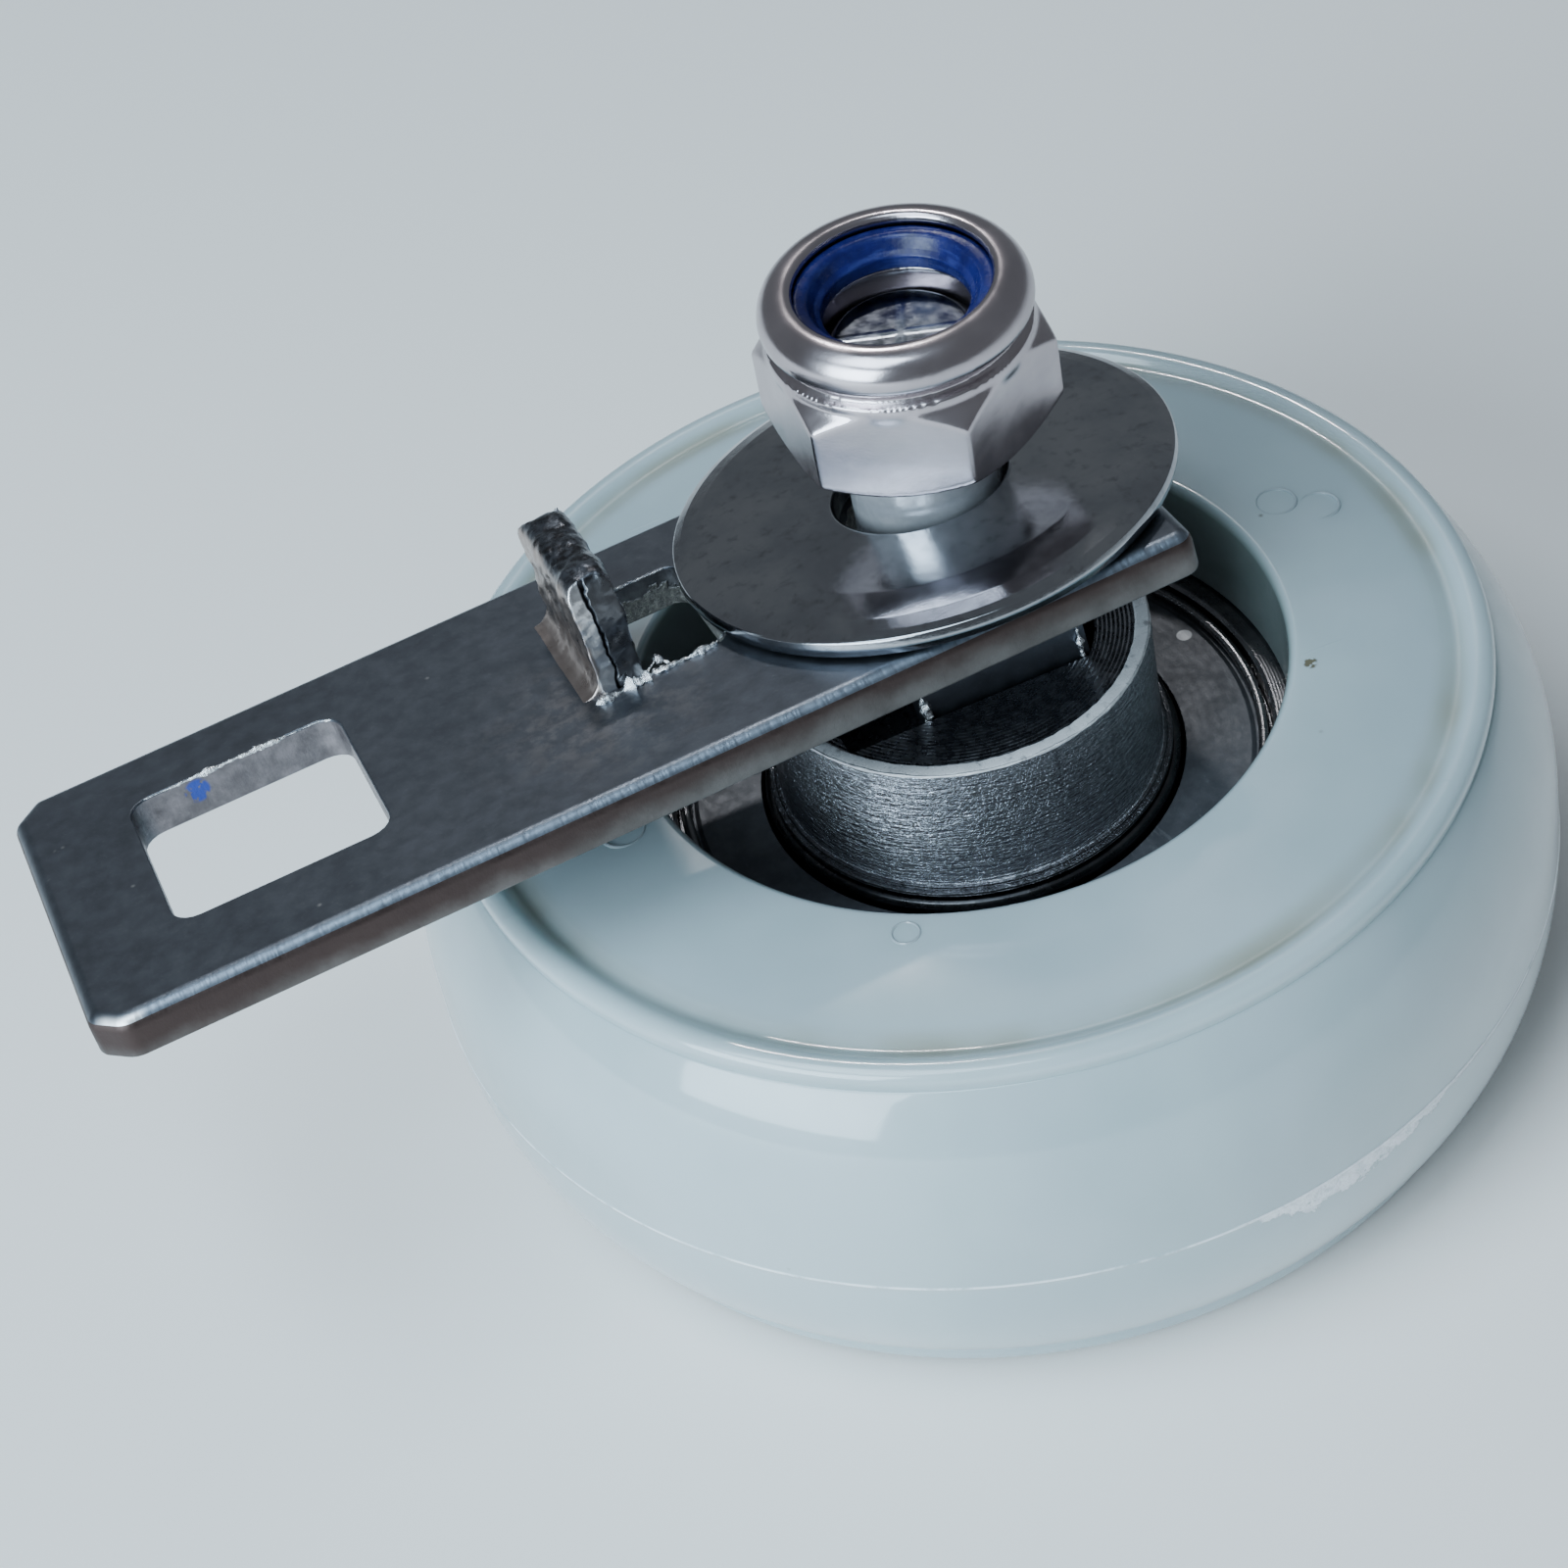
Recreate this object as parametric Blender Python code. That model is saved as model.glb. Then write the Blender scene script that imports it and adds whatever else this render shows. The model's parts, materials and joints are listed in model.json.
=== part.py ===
"""Sliding door roller: over-moulded nylon wheel on a ball bearing, carried by a
stepped hub on an offset M10 axle bolt, with a loose steel adjusting lever, a large
washer and a nylon-insert lock nut.

Frame: metres, +Z up along the axle. The origin is the centre of the bolt head's end
face, on the bolt's axis. The lever's long axis runs along X, its free end at -X.
"""

import math

import bmesh
import bpy
from mathutils import Euler, Matrix, Vector

MM = 0.001
GAP = 0.3                    # clearance kept between touching pieces, mm

# ---- driving dimensions, mm -------------------------------------------------------
ECCENTRICITY = 3.46          # wheel axis to bolt axis
ECCENTRIC_ANGLE = 69.9       # degrees from +X, from the wheel axis to the bolt axis

WHEEL_RADIUS = 39.3
WHEEL_WIDTH = 30.0
WHEEL_OPENING_RADIUS = 22.0
CROWN_REACH = 12.0           # tread shoulder, from the wheel's mid plane
CROWN_DROP = 3.0             # how much smaller the tread is at the shoulder
CROWN_POWER = 2.8            # flat in the middle, rounder towards the shoulders
BEAD_INNER_RADIUS = 33.0     # crease where the flat annulus meets the bead
BEAD_RADIUS = 1.55
FACE_FALL = 0.7              # the annular face slopes down this much to the bead

BEARING_OUTER_RADIUS = 23.5  # 6204 size: 20 x 47 x 14
BEARING_BORE_RADIUS = 10.0
BEARING_WIDTH = 14.0
BALL_RADIUS = 3.9
BALL_PITCH_RADIUS = 16.75
BALL_COUNT = 8
RACE_GROOVE_RADIUS = 4.2
OUTER_SHOULDER_RADIUS = 19.4
INNER_SHOULDER_RADIUS = 14.3
SHIELD_SEAT_RADIUS = 20.6
SHIELD_INNER_RADIUS = 14.7
SHIELD_THICKNESS = 0.5
SNAP_WIRE_RADIUS = 0.4

HUB_COLLAR_RADIUS = 13.2
HUB_TOP = 33.0               # height of the collar's rim
HUB_RIM_WIDTH = 1.0
HUB_RIM_HEIGHT = 0.4
HUB_RECESS_RADIUS = 9.5
HUB_RECESS_FLAT = 6.4        # wheel axis to the flat of the D-shaped recess
HUB_RECESS_DEPTH = 5.0

BOLT_RADIUS = 5.0            # M10
BOLT_HEAD_FLATS = 17.0
BOLT_HEAD_HEIGHT = 6.0
BOLT_END = 55.9
BOLT_CHAMFER = 0.8
RETAINER_RADIUS = 14.0
RETAINER_HEIGHT = 1.4

LEVER_THICKNESS = 3.0
LEVER_TOP = 41.45            # top face where the bolt axis crosses it
LEVER_TILT_X = -10.5         # degrees; the unclamped lever leans, front edge up
LEVER_TILT_Y = -3.0
LEVER_FREE_END = -62.7
LEVER_BOLT_END = 12.0
LEVER_FRONT = -15.65
LEVER_BACK = 12.55
LEVER_CORNER = 2.6
SLOT_LOW = (-55.4, -8.35)    # rectangular slot near the free end, two corners
SLOT_HIGH = (-40.7, 6.75)
SLOT_CORNER = 1.6
TAB_WIDTH_LOW = -4.65        # window and bent-up tab, across the lever
TAB_WIDTH_HIGH = 6.55
TAB_ROOT = -25.1             # outer face of the bent-up tab
TAB_HEIGHT = 8.2
WINDOW_END = -16.2
KEY_FRONT = -7.4             # front face of the bent-down key
KEY_THICKNESS = 2.2
KEY_MIDDLE = -0.3            # the key is centred a little off the bolt
KEY_HALF_WIDTH = 6.0
KEY_LENGTH = 11.3            # from the lever's top face down to the key's tip
BOLT_HOLE_RADIUS = 6.0
BOLT_HOLE_CENTRE = (-0.3, 0.4)   # the leaning lever's hole is centred off the bolt

WASHER_RADIUS = 17.0
WASHER_HOLE_RADIUS = 6.0
WASHER_THICKNESS = 2.0
WASHER_CENTRE = (-0.3, -0.1)
WASHER_EDGE = 0.5

NUT_FLATS = 17.0
NUT_BASE = 49.35
NUT_HEIGHT = 10.95
NUT_HEX_HEIGHT = 6.65
NUT_COLLAR_RADIUS = 8.45
NUT_LIP_RADIUS = 6.4
INSERT_SEAT_RADIUS = 7.1
INSERT_HOLE_RADIUS = 4.7
INSERT_BASE = 7.85           # above the nut's base
INSERT_TOP = 10.25

# ---- derived places, mm -----------------------------------------------------------
WHEEL_X = -ECCENTRICITY * math.cos(math.radians(ECCENTRIC_ANGLE))
WHEEL_Y = -ECCENTRICITY * math.sin(math.radians(ECCENTRIC_ANGLE))
MID = WHEEL_WIDTH / 2
BEARING_TOP = MID + BEARING_WIDTH / 2
BEARING_BOTTOM = MID - BEARING_WIDTH / 2

# ---- fineness ---------------------------------------------------------------------
WHEEL_STEPS = 56
RING_STEPS = 36
ROUND_STEPS = 44
SMALL_STEPS = 8


# ---- materials --------------------------------------------------------------------
def make_material(name, colour, roughness, metallic):
    material = bpy.data.materials.new(name)
    material.use_nodes = True
    shader = material.node_tree.nodes["Principled BSDF"]
    shader.inputs["Base Color"].default_value = (*colour, 1.0)
    shader.inputs["Roughness"].default_value = roughness
    shader.inputs["Metallic"].default_value = metallic
    return material


def nylon_material():
    return make_material("nylon", (0.60, 0.68, 0.64), 0.25, 0.0)


def bearing_steel_material():
    return make_material("bearing_steel", (0.45, 0.45, 0.46), 0.30, 1.0)


def shield_material():
    return make_material("shield_steel", (0.28, 0.29, 0.31), 0.42, 1.0)


def cage_material():
    return make_material("cage_steel", (0.50, 0.48, 0.44), 0.45, 1.0)


def hub_material():
    return make_material("hub_steel", (0.33, 0.34, 0.37), 0.38, 1.0)


def lever_material():
    return make_material("lever_steel", (0.27, 0.28, 0.31), 0.40, 1.0)


def washer_material():
    return make_material("washer_steel", (0.38, 0.38, 0.39), 0.32, 1.0)


def fastener_material():
    return make_material("fastener_steel", (0.68, 0.67, 0.67), 0.18, 1.0)


def insert_material():
    return make_material("insert_nylon", (0.03, 0.05, 0.30), 0.30, 0.0)


# ---- building blocks --------------------------------------------------------------
def clear_scene():
    for item in list(bpy.data.objects):
        bpy.data.objects.remove(item, do_unlink=True)


def arc(centre_r, centre_z, radius, start, end, count):
    """Points along an arc in the (r, z) plane, angles in degrees, ends included."""
    points = []
    for i in range(count + 1):
        angle = math.radians(start + (end - start) * i / count)
        points.append((centre_r + radius * math.cos(angle), centre_z + radius * math.sin(angle)))
    return points


def add_object(name, bm, material=None, smooth=True):
    """Turns a bmesh built in millimetres into a named object in metres."""
    bmesh.ops.scale(bm, vec=(MM, MM, MM), verts=bm.verts)
    bmesh.ops.recalc_face_normals(bm, faces=bm.faces)
    mesh = bpy.data.meshes.new(name)
    bm.to_mesh(mesh)
    bm.free()
    if smooth:
        mesh.shade_smooth()
        mesh.set_sharp_from_angle(angle=math.radians(32))
    item = bpy.data.objects.new(name, mesh)
    bpy.context.scene.collection.objects.link(item)
    if material is not None:
        mesh.materials.append(material)
    return item


def revolve(name, profile, steps, material=None, sweep=360.0):
    """Spins a closed (r, z) outline about Z; less than a full turn gets end caps."""
    bm = bmesh.new()
    verts = [bm.verts.new((r, 0.0, z)) for r, z in profile]
    edges = [bm.edges.new((verts[i], verts[(i + 1) % len(verts)])) for i in range(len(verts))]
    whole = sweep >= 360.0
    start_faces = [] if whole else [bm.faces.new(verts)]
    source = verts + edges + start_faces
    bmesh.ops.spin(bm, geom=source, cent=(0, 0, 0), axis=(0, 0, 1), angle=math.radians(sweep),
                   steps=steps, use_merge=whole)
    bmesh.ops.remove_doubles(bm, verts=bm.verts, dist=0.001)
    bmesh.ops.dissolve_degenerate(bm, edges=bm.edges, dist=0.0005)
    return add_object(name, bm, material)


def prism(name, outline, low, high, material=None, smooth=True):
    """Extrudes a closed (x, y) outline from z = low to z = high."""
    bm = bmesh.new()
    base = bm.faces.new([bm.verts.new((x, y, low)) for x, y in outline])
    top = bmesh.ops.extrude_face_region(bm, geom=[base])
    moved = [v for v in top["geom"] if isinstance(v, bmesh.types.BMVert)]
    bmesh.ops.translate(bm, vec=(0, 0, high - low), verts=moved)
    return add_object(name, bm, material, smooth)


def box(name, low, high):
    outline = [(low[0], low[1]), (high[0], low[1]), (high[0], high[1]), (low[0], high[1])]
    return prism(name, outline, low[2], high[2], smooth=False)


def circle_outline(radius, steps, x=0.0, y=0.0, phase=0.0):
    points = []
    for i in range(steps):
        angle = math.radians(phase) + 2 * math.pi * i / steps
        points.append((x + radius * math.cos(angle), y + radius * math.sin(angle)))
    return points


def hexagon_outline(flats):
    """Hexagon with corners on the Y axis, across-flats size given."""
    return circle_outline(flats / math.sqrt(3), 6, phase=30.0)


def rounded_rectangle(low, high, radius, steps=3):
    """Counter-clockwise outline with round corners."""
    corners = [(high[0] - radius, high[1] - radius, 0), (low[0] + radius, high[1] - radius, 90),
               (low[0] + radius, low[1] + radius, 180), (high[0] - radius, low[1] + radius, 270)]
    points = []
    for x, y, start in corners:
        for i in range(steps + 1):
            angle = math.radians(start + 90 * i / steps)
            points.append((x + radius * math.cos(angle), y + radius * math.sin(angle)))
    return points


def combine(item, tool, operation):
    """Applies an exact Boolean with tool to item and removes the tool."""
    modifier = item.modifiers.new("combine", "BOOLEAN")
    modifier.operation = operation
    modifier.solver = "EXACT"
    modifier.object = tool
    bpy.context.view_layer.update()
    graph = bpy.context.evaluated_depsgraph_get()
    result = bpy.data.meshes.new_from_object(item.evaluated_get(graph))
    item.modifiers.clear()
    item.data = result
    bpy.data.objects.remove(tool, do_unlink=True)


def round_edges(item, width, angle=40.0):
    modifier = item.modifiers.new("edge_round", "BEVEL")
    modifier.width = width * MM
    modifier.segments = 1
    modifier.limit_method = "ANGLE"
    modifier.angle_limit = math.radians(angle)


def make_axis(name, location, rotation=(0.0, 0.0, 0.0)):
    """An empty that marks a joint axis or a leaning plane."""
    empty = bpy.data.objects.new(name, None)
    empty.location = Vector(location) * MM
    empty.rotation_euler = Euler([math.radians(a) for a in rotation], "XYZ")
    bpy.context.scene.collection.objects.link(empty)
    return empty


def place(item, parent):
    item.parent = parent


# ---- wheel ------------------------------------------------------------------------
def wheel_half_profile():
    """Upper half of the tyre's outline, from the lip's underside out to the crown."""
    top = WHEEL_WIDTH
    lip = 0.4
    crease = top - FACE_FALL - 0.3
    bead_middle = BEAD_INNER_RADIUS + BEAD_RADIUS
    bead_centre = top - BEAD_RADIUS - 0.4
    points = [(WHEEL_OPENING_RADIUS, BEARING_TOP + GAP), (WHEEL_OPENING_RADIUS, top - lip)]
    points.append((WHEEL_OPENING_RADIUS + lip, top))
    points.append((BEAD_INNER_RADIUS - 0.3, top - FACE_FALL))
    points.append((BEAD_INNER_RADIUS, crease))
    points += arc(bead_middle, bead_centre, BEAD_RADIUS, 150, -10, 4)
    steps = 6
    for i in range(steps + 1):
        reach = CROWN_REACH * (1 - i / steps)
        drop = CROWN_DROP * (reach / CROWN_REACH) ** CROWN_POWER
        points.append((WHEEL_RADIUS - drop, MID + reach))
    return points


def build_wheel_tyre(axis):
    upper = wheel_half_profile()
    lower = [(r, WHEEL_WIDTH - z) for r, z in reversed(upper[:-1])]
    groove = BEARING_OUTER_RADIUS + GAP
    seat = [(groove, BEARING_BOTTOM - GAP), (groove, BEARING_TOP + GAP)]
    tyre = revolve("wheel_tyre", upper + lower + seat, WHEEL_STEPS, nylon_material())
    place(tyre, axis)


# ---- bearing ----------------------------------------------------------------------
def groove_arc(shoulder, outward):
    """Raceway arc between two shoulders; the groove opens inward for the outer ring."""
    reach = abs(shoulder - BALL_PITCH_RADIUS) / RACE_GROOVE_RADIUS
    half = math.degrees(math.acos(reach))
    middle = 0.0 if outward else 180.0
    return arc(BALL_PITCH_RADIUS, MID, RACE_GROOVE_RADIUS, middle - half, middle + half, 6)


def build_outer_ring(axis, steel):
    seat_depth = 1.7
    low = [(BEARING_OUTER_RADIUS, BEARING_BOTTOM), (BEARING_OUTER_RADIUS, BEARING_TOP)]
    low.append((SHIELD_SEAT_RADIUS, BEARING_TOP))
    low.append((SHIELD_SEAT_RADIUS, BEARING_TOP - seat_depth))
    low.append((OUTER_SHOULDER_RADIUS, BEARING_TOP - seat_depth))
    race = list(reversed(groove_arc(OUTER_SHOULDER_RADIUS, True)))
    end = [(OUTER_SHOULDER_RADIUS, BEARING_BOTTOM + seat_depth)]
    end.append((SHIELD_SEAT_RADIUS, BEARING_BOTTOM + seat_depth))
    end.append((SHIELD_SEAT_RADIUS, BEARING_BOTTOM))
    place(revolve("bearing_outer_ring", low + race + end, RING_STEPS, steel), axis)


def build_inner_ring(axis, steel):
    chamfer = 0.6
    race = groove_arc(INNER_SHOULDER_RADIUS, False)
    outline = [(BEARING_BORE_RADIUS, BEARING_BOTTOM), (BEARING_BORE_RADIUS, BEARING_TOP)]
    outline.append((INNER_SHOULDER_RADIUS - chamfer, BEARING_TOP))
    outline.append((INNER_SHOULDER_RADIUS, BEARING_TOP - chamfer))
    outline += race
    outline.append((INNER_SHOULDER_RADIUS, BEARING_BOTTOM + chamfer))
    outline.append((INNER_SHOULDER_RADIUS - chamfer, BEARING_BOTTOM))
    place(revolve("bearing_inner_ring", outline, RING_STEPS, steel), axis)


def ball_angle(index):
    return 2 * math.pi * index / BALL_COUNT


def ball_place(index, offset=0.0):
    angle = ball_angle(index) + offset
    return Vector((BALL_PITCH_RADIUS * math.cos(angle), BALL_PITCH_RADIUS * math.sin(angle), MID))


def build_balls(axis, steel):
    for index in range(BALL_COUNT):
        bm = bmesh.new()
        bmesh.ops.create_icosphere(bm, subdivisions=2, radius=BALL_RADIUS,
                                   matrix=Matrix.Translation(ball_place(index)))
        place(add_object(f"ball_{index + 1}", bm, steel), axis)


def build_cage(axis, steel):
    """Two machined halves, pocketed round the balls and riveted between them."""
    inner, outer, height, split = 15.0, 18.6, 4.9, 0.15
    half_step = math.pi / BALL_COUNT
    rivet_radius = 0.6
    for name, side in (("cage_upper", 1), ("cage_lower", -1)):
        near, far = MID + side * split, MID + side * height
        outline = [(inner, near), (outer, near), (outer, far), (inner, far)]
        half = revolve(name, outline, RING_STEPS, steel)
        bm = bmesh.new()
        for index in range(BALL_COUNT):
            bmesh.ops.create_icosphere(bm, subdivisions=2, radius=BALL_RADIUS + GAP + 0.05,
                                       matrix=Matrix.Translation(ball_place(index)))
            spot = Matrix.Translation(ball_place(index, half_step))
            bmesh.ops.create_cone(bm, cap_ends=True, segments=SMALL_STEPS, depth=3 * height,
                                  radius1=rivet_radius + GAP, radius2=rivet_radius + GAP, matrix=spot)
        combine(half, add_object(name + "_pockets", bm, smooth=False), "DIFFERENCE")
        place(half, axis)
    for index in range(BALL_COUNT):
        bm = bmesh.new()
        bmesh.ops.create_cone(bm, cap_ends=True, segments=SMALL_STEPS, depth=2 * height,
                              radius1=rivet_radius, radius2=rivet_radius,
                              matrix=Matrix.Translation(ball_place(index, half_step)))
        place(add_object(f"cage_rivet_{index + 1}", bm, steel), axis)


def build_shields(axis, shield_steel, wire_steel):
    outer = SHIELD_SEAT_RADIUS - GAP
    wire_r = SHIELD_SEAT_RADIUS - GAP - SNAP_WIRE_RADIUS
    for name, side in (("upper", 1), ("lower", -1)):
        face = MID + side * (BEARING_WIDTH / 2)
        outline = [(SHIELD_INNER_RADIUS, face - side * 1.8), (SHIELD_INNER_RADIUS, face - side * 0.9)]
        outline += [(outer, face - side * 0.9), (outer, face - side * (0.9 + SHIELD_THICKNESS))]
        outline += [(SHIELD_INNER_RADIUS + SHIELD_THICKNESS, face - side * (0.9 + SHIELD_THICKNESS))]
        outline += [(SHIELD_INNER_RADIUS + SHIELD_THICKNESS, face - side * 1.8)]
        place(revolve("shield_" + name, outline, RING_STEPS, shield_steel), axis)
        wire_z = face - side * (0.9 - GAP / 2 - SNAP_WIRE_RADIUS + 0.02)
        section = arc(wire_r, wire_z, SNAP_WIRE_RADIUS, 0, 300, 5)
        wire = revolve("snap_wire_" + name, section, RING_STEPS, wire_steel, sweep=352.0)
        wire.rotation_euler.z = math.radians(34.0)
        place(wire, axis)


# ---- hub --------------------------------------------------------------------------
def build_hub(axis):
    """Spigot in the bearing, collar above it, D-shaped recess and offset bolt hole."""
    spigot = BEARING_BORE_RADIUS - GAP
    ledge = HUB_TOP - HUB_RIM_HEIGHT
    rim_inner = HUB_COLLAR_RADIUS - HUB_RIM_WIDTH
    foot = BEARING_TOP + GAP
    outline = [(0.0, BEARING_BOTTOM + GAP), (spigot, BEARING_BOTTOM + GAP), (spigot, foot)]
    outline += [(HUB_COLLAR_RADIUS - 0.5, foot), (HUB_COLLAR_RADIUS, foot + 0.5)]
    outline += [(HUB_COLLAR_RADIUS, HUB_TOP), (rim_inner, HUB_TOP), (rim_inner, ledge), (0.0, ledge)]
    hub = revolve("hub_sleeve", outline, ROUND_STEPS, hub_material())
    floor = HUB_TOP - HUB_RECESS_DEPTH
    above = HUB_TOP + 5
    half = math.asin(HUB_RECESS_FLAT / HUB_RECESS_RADIUS)
    steps = 22
    recess = []
    for i in range(steps + 1):
        angle = -half + (math.pi + 2 * half) * i / steps
        recess.append((HUB_RECESS_RADIUS * math.cos(angle), HUB_RECESS_RADIUS * math.sin(angle)))
    combine(hub, prism("recess", recess, floor, above, smooth=False), "DIFFERENCE")
    run_out = 10.2
    combine(hub, box("run_out", (-run_out, -HUB_RECESS_FLAT, floor), (-4, 0, above)), "DIFFERENCE")
    hole = circle_outline(BOLT_RADIUS + GAP, 32, -WHEEL_X, -WHEEL_Y)
    combine(hub, prism("bolt_hole", hole, 0, above, smooth=False), "DIFFERENCE")
    place(hub, axis)


# ---- axle bolt and its retainer ---------------------------------------------------
def build_axle_bolt(steel):
    bolt = prism("axle_bolt", hexagon_outline(BOLT_HEAD_FLATS), 0, BOLT_HEAD_HEIGHT, steel)
    outline = [(0.0, BOLT_HEAD_HEIGHT / 2), (BOLT_RADIUS, BOLT_HEAD_HEIGHT / 2)]
    outline += [(BOLT_RADIUS, BOLT_END - BOLT_CHAMFER), (BOLT_RADIUS - BOLT_CHAMFER, BOLT_END)]
    outline += [(0.0, BOLT_END)]
    combine(bolt, revolve("shank", outline, 32), "UNION")
    corner = BOLT_HEAD_FLATS / math.sqrt(3)
    chamfer = [(0.0, -1.0), (corner - 2.2, -1.0), (corner - 1.2, 0.0), (corner + 0.1, 0.75)]
    chamfer += [(corner + 0.1, BOLT_END + 1), (0.0, BOLT_END + 1)]
    combine(bolt, revolve("head_chamfer", chamfer, ROUND_STEPS), "INTERSECT")


def build_retainer(steel):
    low = BOLT_HEAD_HEIGHT + GAP
    high = low + RETAINER_HEIGHT
    inner = BOLT_RADIUS + GAP
    outline = [(inner, low), (RETAINER_RADIUS, low), (RETAINER_RADIUS, high), (inner, high)]
    revolve("retaining_washer", outline, 32, steel)


# ---- lever ------------------------------------------------------------------------
def lever_outline():
    """Lever plan: free-end corners cut, bolt end nearly square."""
    low_x, high_x = LEVER_FREE_END, LEVER_BOLT_END
    low_y, high_y = LEVER_FRONT, LEVER_BACK
    cut = LEVER_CORNER
    points = [(low_x, high_y - cut), (low_x, low_y + cut)]
    points += [(low_x + cut * 0.3, low_y + cut * 0.3), (low_x + cut, low_y)]
    points += [(high_x - 1.2, low_y), (high_x - 0.3, low_y + 0.4), (high_x, low_y + 1.4)]
    points += [(high_x, high_y - 1.4), (high_x - 1.4, high_y), (low_x + cut, high_y)]
    return points


def build_lever(lean):
    """Plate with a slot, a window whose tab is bent up and a key bent down."""
    under = -LEVER_THICKNESS
    lever = prism("lever", lever_outline(), under, 0.0, lever_material(), smooth=False)
    slot = rounded_rectangle(SLOT_LOW, SLOT_HIGH, SLOT_CORNER)
    combine(lever, prism("slot", slot, under - 5, 5, smooth=False), "DIFFERENCE")
    window = rounded_rectangle((TAB_ROOT + LEVER_THICKNESS + 0.4, TAB_WIDTH_LOW),
                               (WINDOW_END, TAB_WIDTH_HIGH), 1.2)
    combine(lever, prism("window", window, under - 5, 5, smooth=False), "DIFFERENCE")
    key_left = KEY_MIDDLE - KEY_HALF_WIDTH
    key_right = KEY_MIDDLE + KEY_HALF_WIDTH
    gate_low = (key_left - GAP, KEY_FRONT + KEY_THICKNESS, under - 5)
    combine(lever, box("key_gate", gate_low, (key_right + GAP, 0.0, 5)), "DIFFERENCE")
    hole = circle_outline(BOLT_HOLE_RADIUS, 32, *BOLT_HOLE_CENTRE)
    combine(lever, prism("lever_hole", hole, under - 5, 5, smooth=False), "DIFFERENCE")
    tab_low = (TAB_ROOT, TAB_WIDTH_LOW, under)
    tab_high = (TAB_ROOT + LEVER_THICKNESS, TAB_WIDTH_HIGH, TAB_HEIGHT)
    combine(lever, box("tab", tab_low, tab_high), "UNION")
    key_low = (key_left, KEY_FRONT, -KEY_LENGTH)
    key_high = (key_right, KEY_FRONT + KEY_THICKNESS, 0.0)
    combine(lever, box("key", key_low, key_high), "UNION")
    round_edges(lever, 0.4)
    place(lever, lean)


# ---- washer, nut and insert -------------------------------------------------------
def build_large_washer(lean):
    low, high = GAP, GAP + WASHER_THICKNESS
    edge = WASHER_EDGE
    outline = [(WASHER_HOLE_RADIUS, low), (WASHER_RADIUS - edge, low)]
    outline += [(WASHER_RADIUS, low + edge), (WASHER_RADIUS, high - edge)]
    outline += [(WASHER_RADIUS - edge, high), (WASHER_HOLE_RADIUS + edge, high)]
    outline += [(WASHER_HOLE_RADIUS, high - edge)]
    washer = revolve("large_washer", outline, ROUND_STEPS, washer_material())
    washer.location = Vector((*WASHER_CENTRE, 0.0)) * MM
    place(washer, lean)


def build_lock_nut(steel):
    """Hexagon and round collar with a rolled-in lip over the insert's seat."""
    corner = NUT_FLATS / math.sqrt(3) + 0.1
    bore = BOLT_RADIUS + GAP
    base = NUT_BASE
    shoulder = NUT_HEX_HEIGHT
    outline = [(bore, 0.0), (NUT_FLATS / 2 - 0.1, 0.0), (corner, 1.2), (corner, shoulder - 1.35)]
    outline += [(NUT_COLLAR_RADIUS, shoulder)]
    outline += arc(NUT_COLLAR_RADIUS - 1.7, NUT_HEIGHT - 1.7, 1.7, 0, 90, 4)
    outline += [(NUT_LIP_RADIUS, NUT_HEIGHT - 0.3), (INSERT_SEAT_RADIUS, INSERT_TOP + GAP)]
    outline += [(INSERT_SEAT_RADIUS, INSERT_BASE - GAP), (bore, INSERT_BASE - GAP)]
    outline = [(r, base + z) for r, z in outline]
    nut = revolve("lock_nut", outline, ROUND_STEPS, steel)
    hexagon = prism("hexagon", hexagon_outline(NUT_FLATS), base - 1, base + NUT_HEIGHT + 1, smooth=False)
    combine(nut, hexagon, "INTERSECT")
    seat = INSERT_SEAT_RADIUS - GAP
    ring = [(INSERT_HOLE_RADIUS, base + INSERT_BASE), (seat, base + INSERT_BASE)]
    ring += [(seat, base + INSERT_TOP), (INSERT_HOLE_RADIUS + 0.5, base + INSERT_TOP)]
    ring += [(INSERT_HOLE_RADIUS, base + INSERT_TOP - 0.5)]
    revolve("nut_insert", ring, 32, insert_material())


# ---- assembly ---------------------------------------------------------------------
def main():
    clear_scene()
    wheel_axis = make_axis("wheel_axis", (WHEEL_X, WHEEL_Y, 0.0))
    lean = make_axis("lever_lean", (0.0, 0.0, LEVER_TOP), (LEVER_TILT_X, LEVER_TILT_Y, 0.0))
    bearing_steel = bearing_steel_material()
    cage_steel = cage_material()
    fastener_steel = fastener_material()
    build_wheel_tyre(wheel_axis)
    build_outer_ring(wheel_axis, bearing_steel)
    build_inner_ring(wheel_axis, bearing_steel)
    build_balls(wheel_axis, bearing_steel)
    build_cage(wheel_axis, cage_steel)
    build_shields(wheel_axis, shield_material(), bearing_steel)
    build_hub(wheel_axis)
    build_axle_bolt(fastener_steel)
    build_retainer(fastener_steel)
    build_lever(lean)
    build_large_washer(lean)
    build_lock_nut(fastener_steel)
    bpy.context.view_layer.update()


main()
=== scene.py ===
"""Looks of a sliding door roller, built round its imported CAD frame.

Shapes are written in millimetres and turned into metres as each piece is finished. The
wheel, bearing and hub are centred on the wheel axis, the bolt, nut and retaining washer on
the bolt axis, and the lever and large washer lie in a plane that leans.
"""

import json
import math

import bmesh
import bpy
from mathutils import Euler, Matrix, Vector, noise


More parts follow.
